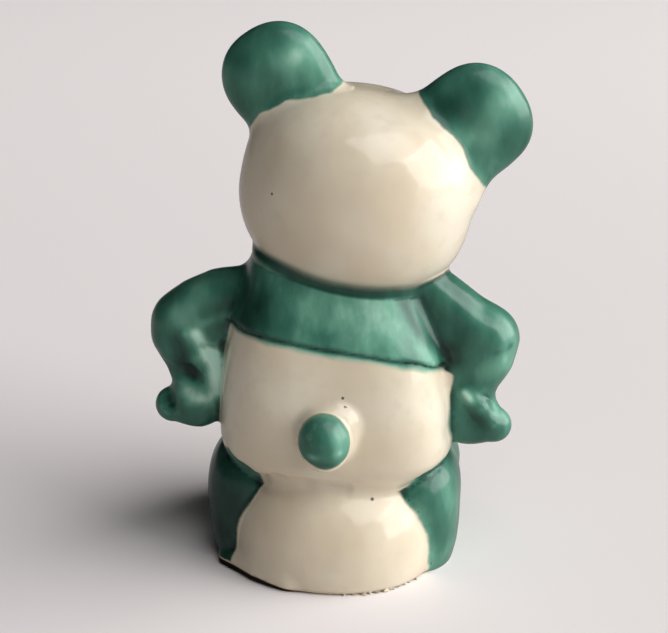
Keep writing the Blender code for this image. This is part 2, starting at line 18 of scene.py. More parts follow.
import bpy
import numpy as np
from mathutils import Vector
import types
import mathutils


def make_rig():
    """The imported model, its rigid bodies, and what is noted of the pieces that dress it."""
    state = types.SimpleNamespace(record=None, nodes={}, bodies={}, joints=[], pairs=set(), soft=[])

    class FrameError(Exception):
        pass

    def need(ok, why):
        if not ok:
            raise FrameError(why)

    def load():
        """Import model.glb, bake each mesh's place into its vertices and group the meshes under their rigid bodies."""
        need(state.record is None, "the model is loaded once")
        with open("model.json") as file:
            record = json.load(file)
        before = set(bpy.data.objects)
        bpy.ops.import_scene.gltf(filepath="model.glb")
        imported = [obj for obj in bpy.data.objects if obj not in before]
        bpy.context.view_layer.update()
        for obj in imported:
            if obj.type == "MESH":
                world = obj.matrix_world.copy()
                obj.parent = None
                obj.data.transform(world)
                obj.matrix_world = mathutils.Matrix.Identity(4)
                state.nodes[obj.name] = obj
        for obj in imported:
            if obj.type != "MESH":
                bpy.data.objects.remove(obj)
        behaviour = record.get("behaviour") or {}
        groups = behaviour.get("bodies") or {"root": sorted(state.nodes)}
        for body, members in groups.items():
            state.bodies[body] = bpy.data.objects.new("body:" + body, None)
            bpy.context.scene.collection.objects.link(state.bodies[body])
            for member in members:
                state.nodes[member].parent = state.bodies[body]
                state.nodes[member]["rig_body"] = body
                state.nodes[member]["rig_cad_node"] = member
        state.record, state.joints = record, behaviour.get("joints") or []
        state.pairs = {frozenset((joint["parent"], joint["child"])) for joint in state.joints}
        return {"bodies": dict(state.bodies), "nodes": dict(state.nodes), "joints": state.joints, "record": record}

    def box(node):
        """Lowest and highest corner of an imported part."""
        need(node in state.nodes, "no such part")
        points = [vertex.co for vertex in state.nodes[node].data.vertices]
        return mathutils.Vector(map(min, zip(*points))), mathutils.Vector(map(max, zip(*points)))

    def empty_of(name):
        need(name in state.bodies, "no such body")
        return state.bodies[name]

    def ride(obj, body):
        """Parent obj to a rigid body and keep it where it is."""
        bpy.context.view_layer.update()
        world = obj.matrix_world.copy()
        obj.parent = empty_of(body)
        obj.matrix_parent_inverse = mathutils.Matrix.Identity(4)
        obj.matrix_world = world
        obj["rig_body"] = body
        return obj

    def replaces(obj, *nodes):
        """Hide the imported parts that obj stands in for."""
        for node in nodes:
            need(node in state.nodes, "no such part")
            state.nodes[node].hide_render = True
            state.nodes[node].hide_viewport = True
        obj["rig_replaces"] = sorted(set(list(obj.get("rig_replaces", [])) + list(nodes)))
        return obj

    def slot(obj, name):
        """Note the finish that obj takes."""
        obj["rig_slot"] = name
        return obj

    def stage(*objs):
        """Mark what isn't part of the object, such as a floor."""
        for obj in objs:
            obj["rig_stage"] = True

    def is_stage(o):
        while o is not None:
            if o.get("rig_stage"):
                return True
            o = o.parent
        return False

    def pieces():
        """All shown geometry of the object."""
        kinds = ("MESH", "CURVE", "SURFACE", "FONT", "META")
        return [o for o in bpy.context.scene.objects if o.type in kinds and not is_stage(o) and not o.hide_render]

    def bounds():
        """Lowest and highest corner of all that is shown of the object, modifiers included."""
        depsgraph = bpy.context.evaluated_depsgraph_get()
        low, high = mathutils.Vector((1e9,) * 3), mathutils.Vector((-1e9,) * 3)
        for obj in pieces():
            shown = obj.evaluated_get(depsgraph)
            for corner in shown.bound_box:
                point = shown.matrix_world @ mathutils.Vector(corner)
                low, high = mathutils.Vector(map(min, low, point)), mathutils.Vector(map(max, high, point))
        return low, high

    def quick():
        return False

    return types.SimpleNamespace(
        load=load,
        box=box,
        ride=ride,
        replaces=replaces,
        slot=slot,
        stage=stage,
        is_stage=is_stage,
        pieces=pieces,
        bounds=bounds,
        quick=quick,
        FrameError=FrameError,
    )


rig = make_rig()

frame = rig.load()
cad_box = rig.bounds()
print("castings:", sorted(frame["nodes"]))

# %% [markdown]
# All the sculpting is done in millimetres, in the modeller's own frame: the mound's middle is at
# (-0.7, 0.2), the face looks along -Y and the panda's own left is +X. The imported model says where
# that mound stands, so one shift carries the finished net to its place.

# %% The modeller's frame
MM = 0.001
MOUND_MIDDLE = (-0.7, 0.2)
mound_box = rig.box("seat_mound")
SHIFT = np.array(
    [(mound_box[0][k] + mound_box[1][k]) / 2 / MM - MOUND_MIDDLE[k] for k in (0, 1)] + [0.0]
)
print("shift to the packed frame, mm:", SHIFT.round(3))


# %% [markdown]
# ## Tools for soft clay
#
# `soft_join` is the smoothing finger: where two skins come closer than `finger`, it fills the
# corner between them. `soft_cut` carves with the same rounded edge, and `soft_trim` keeps only what
# two shapes have in common. `egg` and `rod` are the lumps and rolls of clay that limbs are made
# from.

# %% Soft joins and cuts
def soft_join(a, b, finger):
    overlap = np.maximum(finger - np.abs(a - b), 0.0) / finger
    return np.minimum(a, b) - overlap * overlap * finger / 4


def soft_cut(a, hole, finger):
    return -soft_join(-a, hole, finger)


def soft_trim(a, b, finger):
    return -soft_join(-a, -b, finger)


print("a corner filled by a finger of 2 mm, in its middle, mm:", soft_join(0.0, 0.0, 2.0))


# %% Lumps and rolls
def egg(p, middle, half_sizes):
    q = p - np.asarray(middle, p.dtype)
    near = np.sqrt(((q / half_sizes) ** 2).sum(1)) + 1e-6
    steep = np.sqrt(((q / np.square(half_sizes)) ** 2).sum(1)) + 1e-6
    return near * (near - 1) / steep


def rod(p, start, start_radius, end, end_radius):
    start, end = np.asarray(start, p.dtype), np.asarray(end, p.dtype)
    axis = end - start
    along = np.clip((p - start) @ axis / (axis @ axis), 0, 1)
    beside = p - start - along[:, None] * axis
    return np.sqrt((beside**2).sum(1)) - (start_radius + (end_radius - start_radius) * along)


def roll(p, balls, finger):
    """A roll of clay through (x, y, z, radius) balls, its bends smoothed."""
    whole = None
    for near, far in zip(balls, balls[1:]):
        part = rod(p, near[:3], near[3], far[:3], far[3])
        whole = part if whole is None else soft_join(whole, part, finger)
    return whole


print("egg of radius 2, read 1 mm outside it:", egg(np.array([[3.0, 0, 0]]), (0, 0, 0), (2, 2, 2)))


# %% [markdown]
# Mound, torso and legs are stacks of rounded squares. `gauge` is 1 on such a ring, and the
# distance along the ray from its middle follows from it. The half sizes change with the height, so
# they are read from a smooth curve through a few rows.

# %% Stacks of rounded squares
def smooth_rows(rows, column, heights):
    """A smooth curve through one column of the rows, read at many heights."""
    xs = np.array([row[0] for row in rows], float)
    ys = np.array([row[column] for row in rows], float)
    slopes = np.gradient(ys, xs)
    slopes[1:-1] = (ys[2:] - ys[:-2]) / (xs[2:] - xs[:-2])
    heights = np.clip(heights, xs[0], xs[-1])
    k = np.clip(np.searchsorted(xs, heights, side="right") - 1, 0, len(xs) - 2)
    span = xs[k + 1] - xs[k]
    t = (heights - xs[k]) / span
    return (
        ys[k] * (1 + 2 * t) * (1 - t) ** 2
        + ys[k + 1] * t * t * (3 - 2 * t)
        + slopes[k] * span * t * (1 - t) ** 2
        - slopes[k + 1] * span * t * t * (1 - t)
    )


def table(rows, column, low, high, count=400):
    """The same curve as an evenly spaced table, which is quicker to read."""
    heights = np.linspace(low, high, count)
    return heights, smooth_rows(rows, column, heights)


def read(tabled, heights):
    return np.interp(heights, *tabled).astype(heights.dtype)


def gauge(x, y, half_x, half_y, squareness):
    return (np.abs(x / half_x) ** squareness + np.abs(y / half_y) ** squareness) ** (
        1 / squareness
    )


def from_gauge(g, reach):
    return reach * (1 - 1 / np.maximum(g, 1e-6))


def eased(share):
    """A share from 0 to 1 that starts and ends gently."""
    return share * share * (3 - 2 * share)


print("gauge on the side of a 4 mm circle:", gauge(4.0, 0.0, 4.0, 4.0, 2.0))

# %% [markdown]
# ## The castings
#
# ### Mound
#
# The seat is a low dome. Its rows give, for shares of its height, the shares of its half width and
# half depth; past 1 it goes on inside the torso, so that the two castings really cut into each
# other at the waist crease. Some slip was left in the corner between the mound and the left leg, so
# a low roll is joined on there.

# %% Mound
MOUND_HEIGHT = 13.4
MOUND_HALF = (14.4, 15.4)
MOUND_SQUARENESS = 2.2
MOUND_ROWS = (
    (-0.1, 0.90, 0.90),
    (0.0, 0.935, 0.935),
    (0.06, 0.975, 0.975),
    (0.24, 1.0, 1.0),
    (0.49, 0.99, 0.975),
    (0.72, 0.945, 0.905),
    (0.88, 0.865, 0.80),
    (1.0, 0.76, 0.67),
    (1.1, 0.62, 0.52),
)
MOUND_TOP = 14.3
MOUND_TOP_FINGER = 2.0
# The slip left at the foot: (x, y, z, radius) balls
FOOT_SLIP = ((13.0, 6.9, 0.8, 1.6), (8.4, 11.0, 0.8, 1.6), (4.4, 13.0, 0.8, 1.6))
FOOT_SLIP_FINGER = 1.5
mound_width = table(MOUND_ROWS, 1, -0.1, 1.1)
mound_depth = table(MOUND_ROWS, 2, -0.1, 1.1)


def mound(p, grow=0.0):
    share = p[:, 2] / MOUND_HEIGHT
    x, y = p[:, 0] - MOUND_MIDDLE[0], p[:, 1] - MOUND_MIDDLE[1]
    wide = MOUND_HALF[0] * read(mound_width, share) + grow
    deep = MOUND_HALF[1] * read(mound_depth, share) + grow
    side = from_gauge(gauge(x, y, wide, deep, MOUND_SQUARENESS), np.hypot(x, y))
    return soft_trim(side, p[:, 2] - (MOUND_TOP + grow), MOUND_TOP_FINGER)


def mound_with_slip(p):
    """The mound with the slip that was left at the foot, between it and the left leg."""
    slip = [rod(p, a[:3], a[3], b[:3], b[3]) for a, b in zip(FOOT_SLIP, FOOT_SLIP[1:])]
    return soft_join(mound(p), np.minimum.reduce(slip), FOOT_SLIP_FINGER)


print("mound width, mm:", 2 * MOUND_HALF[0])

# %% [markdown]
# ### Torso and shoulder band
#
# The torso is a rounded box that leans a little to the panda's right as it rises. The green band
# round the shoulders stands nearly half a millimetre proud: a thick coat of slip, brushed on down
# to a line that climbs towards the left arm. Under that line the step catches a dark edge.

# %% Torso
TORSO_SEAM = 13.7
TORSO_HALF = (15.1, 13.4)
TORSO_SQUARENESS = (3.1, 2.6)  # behind, in front
BAND_START = 18.0
NECK_RISE = 26.4
NECK_HALF = (10.8, 9.4)
BAND_LEAN = math.radians(7.0)
HEAD_LEAN = math.radians(11.5)
TORSO_ROWS = (
    (-0.12, 0.60, 0.58),
    (-0.05, 0.765, 0.75),
    (0.03, 0.88, 0.86),
    (0.18, 1.0, 0.95),
    (0.47, 1.0, 1.0),
    (0.76, 0.965, 0.97),
    (1.0, 0.917, 0.907),
    (1.2, 0.825, 0.815),
    (NECK_RISE / BAND_START, NECK_HALF[0] / TORSO_HALF[0], NECK_HALF[1] / TORSO_HALF[1]),
)
INSIDE_MOUND = 2.0  # how far the torso goes on inside the mound
INSIDE_HEAD = 1.0  # and inside the head
TORSO_END_FINGER = 1.0
TORSO_DRIFT = (0.2, 0.4)  # how far the neck's ring lies to the right and to the front
BAND_STEP = 0.42
BAND_STEP_WIDTH = 0.9
# The band's lower line on the back: place across, height
BAND_LINE = (
    (-18.0, 27.6), (-14.4, 29.2), (-11.8, 30.7), (-9.0, 31.35), (-5.0, 32.15), (0.0, 32.8),
    (5.0, 33.5), (10.0, 34.05), (18.0, 34.4),
)
torso_width = table(TORSO_ROWS, 1, -0.12, NECK_RISE / BAND_START)
torso_depth = table(TORSO_ROWS, 2, -0.12, NECK_RISE / BAND_START)
band_line = table(BAND_LINE, 1, -18.0, 18.0)


def torso_frame(p):
    """Place across, place back and height above the seam, with the lean taken out."""
    rise = p[:, 2] - TORSO_SEAM
    share = eased(np.clip(rise / NECK_RISE, 0, 1))
    x = p[:, 0] - MOUND_MIDDLE[0] + TORSO_DRIFT[0] * share
    y = p[:, 1] - MOUND_MIDDLE[1] + TORSO_DRIFT[1] * share
    low = np.clip(rise / BAND_START, 0, 1)
    lean = BAND_LEAN * low * low * (3 - 2 * low)
    high = np.clip((rise - BAND_START) / (NECK_RISE - BAND_START), 0, 1)
    lean = lean + (HEAD_LEAN - BAND_LEAN) * high
    return x, y, rise - x * np.tan(lean)


def above_band_line(p):
    """How far a point is above the band's lower line, on the back and round to the front."""
    return p[:, 2] - read(band_line, p[:, 0])


def torso_body(p, grow=0.0):
    x, y, rise = torso_frame(p)
    share = rise / BAND_START
    wide = TORSO_HALF[0] * read(torso_width, share) + grow
    deep = TORSO_HALF[1] * read(torso_depth, share) + grow
    squareness = np.where(y > 0, TORSO_SQUARENESS[0], TORSO_SQUARENESS[1])
    side = from_gauge(gauge(x, y, wide, deep, squareness), np.hypot(x, y))
    ends = np.maximum(rise - NECK_RISE - INSIDE_HEAD - grow, -INSIDE_MOUND - grow - rise)
    return soft_trim(side, ends, TORSO_END_FINGER)


def torso(p):
    """The torso with its band, whose lower edge is a quarter round."""
    edge = np.clip(above_band_line(p) / BAND_STEP_WIDTH, 0, 1)
    step = BAND_STEP * np.sqrt(np.clip(1 - (1 - edge) ** 2, 0, 1))
    return torso_body(p) - step


print("neck ring at z, mm:", TORSO_SEAM + NECK_RISE)

# %% [markdown]
# ### Head
#
# The head is one big rounded box with a blunt muzzle. It leans 11.5 degrees to the panda's right,
# so it gets a frame of its own, and everything on it (muzzle, nose, eyes, ears) is placed there.

# %% Head
HEAD_MIDDLE = np.array([-3.03, -0.2, 50.59])
HEAD_HALF = (15.1, 13.5, 12.9)
HEAD_SQUARENESS = 2.4
HEAD_PLAN_SQUARENESS = 2.1
MUZZLE = ((0.0, -12.1, -3.6), (6.6, 4.8, 5.0))
MUZZLE_FINGER = 2.5
NOSE = ((0.0, -16.2, -1.4), (2.3, 1.5, 1.5))
NOSE_FINGER = 0.8


def head_frame(p):
    q = p - HEAD_MIDDLE.astype(p.dtype)
    cos, sin = math.cos(HEAD_LEAN), math.sin(HEAD_LEAN)
    return np.stack(
        [cos * q[:, 0] + sin * q[:, 2], q[:, 1], cos * q[:, 2] - sin * q[:, 0]], axis=1
    )


def skull(q):
    x, y, z = (np.abs(q[:, k] / HEAD_HALF[k]) for k in range(3))
    plan = x**HEAD_PLAN_SQUARENESS + y**HEAD_PLAN_SQUARENESS
    whole = plan ** (HEAD_SQUARENESS / HEAD_PLAN_SQUARENESS) + z**HEAD_SQUARENESS
    return from_gauge(whole ** (1 / HEAD_SQUARENESS), np.sqrt((q**2).sum(1)))


def head(p):
    q = head_frame(p)
    face = soft_join(skull(q), egg(q, *MUZZLE), MUZZLE_FINGER)
    return soft_join(face, egg(q, *NOSE), NOSE_FINGER)


print("head middle, mm:", HEAD_MIDDLE)

# %% [markdown]
# ### Ears
#
# Each ear is a thick round tab, dished in front. `along` runs out from the skull, `across` is its
# width. The panda's left ear sits on the skull with a crease; the right one flares into it.

# %% Ears
EAR_HALF = (7.0, 3.2)
EAR_ROOT_HALF = (6.3, 3.6)
EAR_WIDEST = 2.6
EAR_LENGTH = 9.4
EAR_ROOT_DEPTH = 5.0
EAR_SQUARENESS = 2.25
EAR_SET_BACK = 0.3
EAR_DISH = ((0, -4.6, 3.6), (4.7, 2.8, 4.7))
EAR_DISH_FINGER = 1.2
# side, angle from the skull's upright, distance of the skull's skin, share of width, shift across
LEFT_EAR = (1, math.radians(47.5), 14.8, 0.98, -0.1)
RIGHT_EAR = (-1, math.radians(46.2), 14.9, 1.0, 0.0)
# The flare under the right ear: a roll from (across, back, along, radius) to the same
EAR_FLARE = ((-4.4, 0.0, 1.6, 2.2), (-6.6, 0.4, -3.2, 2.0))
EAR_FLARE_FINGER = 2.0


def ear_frame(p, side, angle, skin, width, shift):
    q = head_frame(p)
    sin, cos = side * math.sin(angle), math.cos(angle)
    along = q[:, 0] * sin + q[:, 2] * cos - skin
    across = q[:, 0] * cos - q[:, 2] * sin
    return (across - shift) / width, q[:, 1] - EAR_SET_BACK, along


def ear(p, placed):
    across, back, along = ear_frame(p, *placed)
    share = eased(np.clip((along + EAR_ROOT_DEPTH) / (EAR_WIDEST + EAR_ROOT_DEPTH), 0, 1))
    wide = EAR_ROOT_HALF[0] + (EAR_HALF[0] - EAR_ROOT_HALF[0]) * share
    thick = EAR_ROOT_HALF[1] + (EAR_HALF[1] - EAR_ROOT_HALF[1]) * share
    out = np.maximum(along - EAR_WIDEST, 0.0)
    whole = (
        np.abs(across / wide) ** EAR_SQUARENESS
        + np.abs(back / thick) ** EAR_SQUARENESS
        + (out / (EAR_LENGTH - EAR_WIDEST)) ** EAR_SQUARENESS
    )
    reach = np.sqrt(across**2 + back**2 + out**2)
    tab = from_gauge(whole ** (1 / EAR_SQUARENESS), reach)
    tab = np.maximum(tab, -EAR_ROOT_DEPTH - along)
    q = np.stack([across, back, along], 1)
    if placed is RIGHT_EAR:
        start, end = EAR_FLARE
        tab = soft_join(tab, rod(q, start[:3], start[3], end[:3], end[3]), EAR_FLARE_FINGER)
    return soft_cut(tab, egg(q, *EAR_DISH), EAR_DISH_FINGER)


print("ear tip beyond the skull, mm:", EAR_LENGTH)

# %% [markdown]
# ### Arms
#
# Upper arm, forearm and mitten are one bent roll of clay, flat behind. Each hand rests on the hip
# and the crook of the arm is filled, so no light shows between arm and torso.

# %% Arms
LEFT_ARM = (
    (8.3, 1.9, 36.0, 4.85),
    (14.5, 1.9, 34.8, 4.4),
    (17.3, 1.9, 33.6, 4.25),
    (19.6, 1.9, 32.1, 3.9),
    (19.9, 2.0, 30.5, 3.6),
    (18.8, 2.3, 28.0, 3.1),
    (18.1, 2.3, 25.0, 2.8),
    (17.9, 2.4, 21.4, 3.15),
    (21.3, 2.4, 20.7, 2.35),
)
RIGHT_ARM = (
    (-11.6, 1.8, 36.35, 5.1),
    (-19.5, 1.4, 31.25, 4.35),
    (-19.45, 1.5, 28.85, 3.75),
    (-18.0, 2.0, 24.0, 2.9),
    (-18.3, 2.6, 21.0, 3.5),
    (-21.4, 3.2, 20.15, 2.3),
)
LEFT_CROOK = ((15.4, 1.4, 25.6), (3.6, 3.7, 6.6))
RIGHT_CROOK = ((-16.2, 1.9, 26.2), (3.4, 3.4, 6.6))
FLAT_BACK = 5.6  # how far back the arms reach
FLAT_BACK_FINGER = 0.9
ARM_BEND_FINGER = 1.4
CROOK_FINGER = 1.6


def arm(p, balls, crook):
    whole = soft_join(roll(p, balls, ARM_BEND_FINGER), egg(p, *crook), CROOK_FINGER)
    return soft_trim(whole, p[:, 1] - FLAT_BACK, FLAT_BACK_FINGER)


print("hands at z, mm:", LEFT_ARM[-2][2], RIGHT_ARM[-2][2])

# %% [markdown]
# ### Legs
#
# The haunches lie against the mound as flat columns, and knees and feet run forward from them.

# %% Legs
LEG_SQUARENESS = 2.3
# share of the mound's height, inside the flank, back, half width, half depth
LEG_ROWS = (
    (0.0, 2.4, 0.8, 4.4, 6.6),
    (0.22, 2.3, 1.0, 5.0, 7.2),
    (0.56, 2.4, 1.3, 5.4, 7.5),
    (0.84, 2.7, 1.5, 5.6, 7.8),
    (1.06, 2.9, 1.3, 5.0, 7.2),
    (1.21, 3.2, 0.9, 3.6, 5.4),
    (1.30, 3.4, 0.5, 1.0, 1.6),
)
# inside the flank, back, height, radius
LEG_BALLS = (
    (3.0, 0.0, 10.85, 5.5),
    (3.4, -8.6, 10.2, 5.1),
    (3.5, -10.6, 4.56, 4.6),
    (3.9, -14.8, 4.02, 4.3),
)
# side, how much further inside the flank, how much further forward, share of the full height
LEFT_LEG = (1, 0.0, 0.0, 1.0)
RIGHT_LEG = (-1, 1.0, 0.2, 0.95)
HAUNCH_TOP = 1.26  # share of the mound's height
HAUNCH_FINGER = 1.5
KNEE_FINGER = 2.5
leg_tables = [table(LEG_ROWS, k, 0.0, 1.30) for k in (1, 2, 3, 4)]


def leg(p, placed):
    side, further_in, forward, tall = placed
    flank = MOUND_MIDDLE[0] + side * MOUND_HALF[0]
    share = p[:, 2] / (MOUND_HEIGHT * tall)
    inside, back, wide, deep = (read(tabled, share) for tabled in leg_tables)
    x = p[:, 0] - (flank - side * (inside + further_in))
    y = p[:, 1] - (back - forward)
    column = from_gauge(gauge(x, y, wide, deep, LEG_SQUARENESS), np.hypot(x, y))
    column = soft_trim(column, p[:, 2] - MOUND_HEIGHT * tall * HAUNCH_TOP, HAUNCH_FINGER)
    balls = [
        (flank - side * (inner + further_in), behind - forward, height, radius)
        for inner, behind, height, radius in LEG_BALLS
    ]
    return soft_join(column, roll(p, balls, KNEE_FINGER), HAUNCH_FINGER)


print("left leg's outer side at x, mm:", MOUND_MIDDLE[0] + MOUND_HALF[0] + 3.0)

# %% [markdown]
# ### Tail
#
# The tail is an egg of clay pressed on with slip, and the slip that squeezed out stayed white: a
# low ring with one flat cushion at its upper right, as seen from behind.

# %% Tail and its bead of slip
TAIL_MIDDLE = (-0.6, 15.0, 21.6)
TAIL_HALF = (3.48, 2.95, 3.92)
TAIL_ROOT = (-0.6, 11.0, 21.6)
TAIL_ROOT_RADIUS = 2.6
BEAD_Y = 13.7
BEAD_RING = (3.0, 3.3, 0.75)  # half width and half height of the ring, radius of its roll
BEAD_DROP = ((-2.1, 13.1, 23.3), (2.7, 1.6, 2.7))
TAIL_FINGER = 0.8


def tail(p):
    root = rod(p, TAIL_ROOT, TAIL_ROOT_RADIUS, TAIL_MIDDLE, TAIL_ROOT_RADIUS)
    return soft_join(egg(p, TAIL_MIDDLE, TAIL_HALF), root, TAIL_FINGER)


def tail_bead(p):
    x, z = p[:, 0] - TAIL_MIDDLE[0], p[:, 2] - TAIL_MIDDLE[2]
    round_it = from_gauge(gauge(x, z, BEAD_RING[0], BEAD_RING[1], 2.0), np.hypot(x, z))
    ring = np.hypot(round_it, p[:, 1] - BEAD_Y) - BEAD_RING[2]
    return soft_join(ring, egg(p, *BEAD_DROP), TAIL_FINGER)


print("tail middle, mm:", TAIL_MIDDLE)

# %% [markdown]
# ## The whole ware
#
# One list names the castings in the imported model's words. A casting is only worked out near its
# own box, because a point far from an ear needs no exact distance to it.

# %% The castings by name
REACH = 3.0  # added to the distance to a box, so that it stays well off the skin
NAMES = (
    "seat_mound", "torso", "head", "left_ear", "right_ear", "left_arm", "right_arm",
    "left_leg", "right_leg", "tail", "tail_slip_bead",
)
SHAPES = {
    "seat_mound": (mound_with_slip, (-16, -16, -1), (15, 17, 15)),
    "torso": (torso, (-18, -16, 11), (17, 16, 44)),
    "head": (head, (-20, -20, 36), (15, 15, 66)),
    "left_ear": (lambda p: ear(p, LEFT_EAR), (-1, -5, 53), (20, 6, 74)),
    "right_ear": (lambda p: ear(p, RIGHT_EAR), (-27, -5, 48), (-8, 6, 70)),
    "left_arm": (lambda p: arm(p, LEFT_ARM, LEFT_CROOK), (2, -5, 16), (26, 8, 42)),
    "right_arm": (lambda p: arm(p, RIGHT_ARM, RIGHT_CROOK), (-26, -5, 16), (-5, 8, 42)),
    "left_leg": (lambda p: leg(p, LEFT_LEG), (2, -21, -2), (19, 12, 19)),
    "right_leg": (lambda p: leg(p, RIGHT_LEG), (-20, -21, -2), (-3, 12, 19)),
    "tail": (tail, (-5, 8, 17), (4, 20, 28)),
    "tail_slip_bead": (tail_bead, (-7, 11, 16), (5, 17, 28)),
}


def casting(p, name):
    """Distance to one casting: exact near it, and that to its box further off."""
    shape, low, high = SHAPES[name]
    low, high = np.asarray(low, p.dtype), np.asarray(high, p.dtype)
    off = np.maximum(np.maximum(low - p, p - high), 0)
    away = np.sqrt((off**2).sum(1)) + REACH
    near = (away <= 1.5 * REACH).nonzero()[0]
    if len(near):
        away[near] = shape(p[near])
    return away


def castings(p):
    return {name: casting(p, name) for name in NAMES}


print("castings to sculpt:", len(SHAPES))

# %% [markdown]
# The hands that pressed the clay left it a little uneven. A few slow waves with fixed random
# directions do that: a tenth of a millimetre is enough to make the reflections wander. Shorter
# waves lift the foot off the table here and there.

# %% Hand-made unevenness
def slow_waves(seed, shortest, longest, count):
    dice = np.random.default_rng(seed)
    ways = dice.normal(size=(count, 3))
    ways /= np.linalg.norm(ways, axis=1, keepdims=True)
    lengths = dice.uniform(shortest, longest, count)
    return ways * (2 * math.pi / lengths)[:, None], dice.uniform(0, 2 * math.pi, count)


def wavy(p, waves):
    ways, starts = waves
    return np.sin(p @ ways.T.astype(p.dtype) + starts.astype(p.dtype)).sum(1) / math.sqrt(
        len(starts)
    )


HAND_WAVES = slow_waves(7, 7.0, 15.0, 9)
HAND_WAVE_HEIGHT = 0.09
FOOT_WAVES = slow_waves(11, 2.5, 7.0, 8)
FOOT_WAVE_HEIGHT = 0.16
FOOT_WAVE_DIP = 0.06  # only what rises above this lifts the foot


def foot_lift(p):
    """How far the foot is off the table."""
    flat = p * np.array([1, 1, 0], p.dtype)
    return np.maximum(FOOT_WAVE_HEIGHT * wavy(flat, FOOT_WAVES) - FOOT_WAVE_DIP, 0)


print("waves on the skin:", len(HAND_WAVES[1]), "and under the foot:", len(FOOT_WAVES[1]))

# %% [markdown]
# Joining order matters little, but the width of the finger does: the head sits in a tight groove,
# the arms melt into the shoulders, and the right ear flares more than the left. The tool's strokes
# come next: ridges laid on, and creases pressed in at the wrist, the thighs and the waist.

# %% Fingers and strokes
WAIST_FINGER = 3.2
LEFT_EAR_FINGER = 1.6
RIGHT_EAR_FINGER = 2.8
NECK_FINGER = 0.9
LIMB_FINGERS = (
    ("left_arm", 1.2), ("right_arm", 1.2), ("left_leg", 0.8), ("right_leg", 0.8),
    ("tail_slip_bead", 1.0), ("tail", 0.3),
)
RIDGE_FINGER = 0.9
CREASE_FINGER = 1.0
# Strokes through (x, y, z, radius): down the left forearm and round its hand, across the right hand
RIDGES = (
    (
        (18.7, 4.9, 31.6, 0.9), (17.6, 4.8, 28.5, 0.9), (16.9, 4.7, 25.5, 0.8),
        (16.9, 4.8, 23.0, 0.8), (18.6, 4.9, 21.9, 0.7),
    ),
    ((-17.7, 4.5, 25.2, 0.9), (-19.6, 4.8, 23.1, 0.9), (-21.2, 4.8, 21.0, 0.7)),
)
# Left wrist, pit of the left hand, left and right thigh, waist
CREASES = (
    ((21.4, 5.3, 26.3, 1.1), (18.6, 6.1, 26.1, 1.1), (16.8, 6.0, 25.3, 0.7)),
    ((21.7, 5.0, 22.3, 1.1), (21.3, 5.1, 21.6, 0.9)),
    ((13.2, 7.5, 17.4, 0.4), (10.3, 9.5, 15.1, 0.7), (8.7, 9.9, 13.5, 0.9)),
    ((-14.8, 6.2, 15.6, 0.4), (-12.9, 8.6, 14.3, 0.6), (-10.8, 9.9, 12.6, 0.7)),
    (
        (8.6, 9.9, 13.3, 0.9), (6.2, 12.1, 14.0, 1.0), (2.1, 12.5, 13.9, 0.95),
        (-2.8, 12.3, 13.6, 0.7),
    ),
)


def tooled(whole, p):
    for line in RIDGES:
        for near, far in zip(line, line[1:]):
            whole = soft_join(whole, rod(p, near[:3], near[3], far[:3], far[3]), RIDGE_FINGER)
    for line in CREASES:
        for near, far in zip(line, line[1:]):
            whole = soft_cut(whole, rod(p, near[:3], near[3], far[:3], far[3]), CREASE_FINGER)
    return whole


print("strokes:", len(RIDGES), "ridges and", len(CREASES), "creases")

# %% [markdown]
# The inside is hollow as the casting is, with a drain hole and a shallow recess within the foot
# ring. The foot is cut off nearly flat, with its own short waves.

# %% The whole ware, hollow
WALL = 2.6
ROOM_FLOOR = WALL + 2.0
ROOM_TOP = 37.5
ROOM_FINGER = 1.0
DRAIN_RADIUS = 4.6
DRAIN_TOP = 8.0
FOOT_RECESS = 0.8
FOOT_RING = 2.8
FOOT_FINGER = 0.3
HOLLOW_FINGER = 0.4


def hollow(p):
    """The cavity of mound and torso, with the drain hole and the recess under the foot."""
    room = np.maximum(mound(p, -WALL), ROOM_FLOOR - p[:, 2])
    upper = np.maximum(torso_body(p, -WALL), p[:, 2] - ROOM_TOP)
    room = soft_join(room, upper, ROOM_FINGER)
    middle = np.array(MOUND_MIDDLE, p.dtype)
    beside = np.hypot(p[:, 0] - middle[0], p[:, 1] - middle[1])
    drain = np.maximum(beside - DRAIN_RADIUS, p[:, 2] - DRAIN_TOP)
    recess = np.maximum(mound(p, -FOOT_RING), p[:, 2] - FOOT_RECESS)
    return np.minimum(soft_join(room, drain, ROOM_FINGER), recess)


def ware_from(parts, p):
    """The skin of everything, inside and out, from the distances to the castings."""
    whole = soft_join(parts["seat_mound"], parts["torso"], WAIST_FINGER)
    crown = soft_join(parts["head"], parts["left_ear"], LEFT_EAR_FINGER)
    crown = soft_join(crown, parts["right_ear"], RIGHT_EAR_FINGER)
    whole = soft_join(whole, crown, NECK_FINGER)
    for name, finger in LIMB_FINGERS:
        whole = soft_join(whole, parts[name], finger)
    whole = tooled(whole, p) + HAND_WAVE_HEIGHT * wavy(p, HAND_WAVES)
    whole = soft_trim(whole, foot_lift(p) - p[:, 2], FOOT_FINGER)
    return soft_cut(whole, hollow(p), HOLLOW_FINGER)


def ware(p):
    return ware_from(castings(p), p)


print("inside the belly:", ware(np.array([[-0.7, 13.0, 25.0]])).round(2), "mm")

# %% [markdown]
# A casting ends where the next one starts. The three shells come first: a limb only exists outside
# them, because on the real figure it is stuck on their skin.

# %% Which casting a point belongs to
SHELLS = ("seat_mound", "torso", "head")


def owners(parts):
    """For each point, one number per casting: the lowest one owns the point."""
    shell = np.minimum.reduce([parts[name] for name in SHELLS])
    rows = [
        parts[name] if name in SHELLS else np.maximum(parts[name], -shell) for name in NAMES
    ]
    return np.stack(rows)


print("a point in the head belongs to:", NAMES[owners(castings(HEAD_MIDDLE[None] + 5)).argmin()])

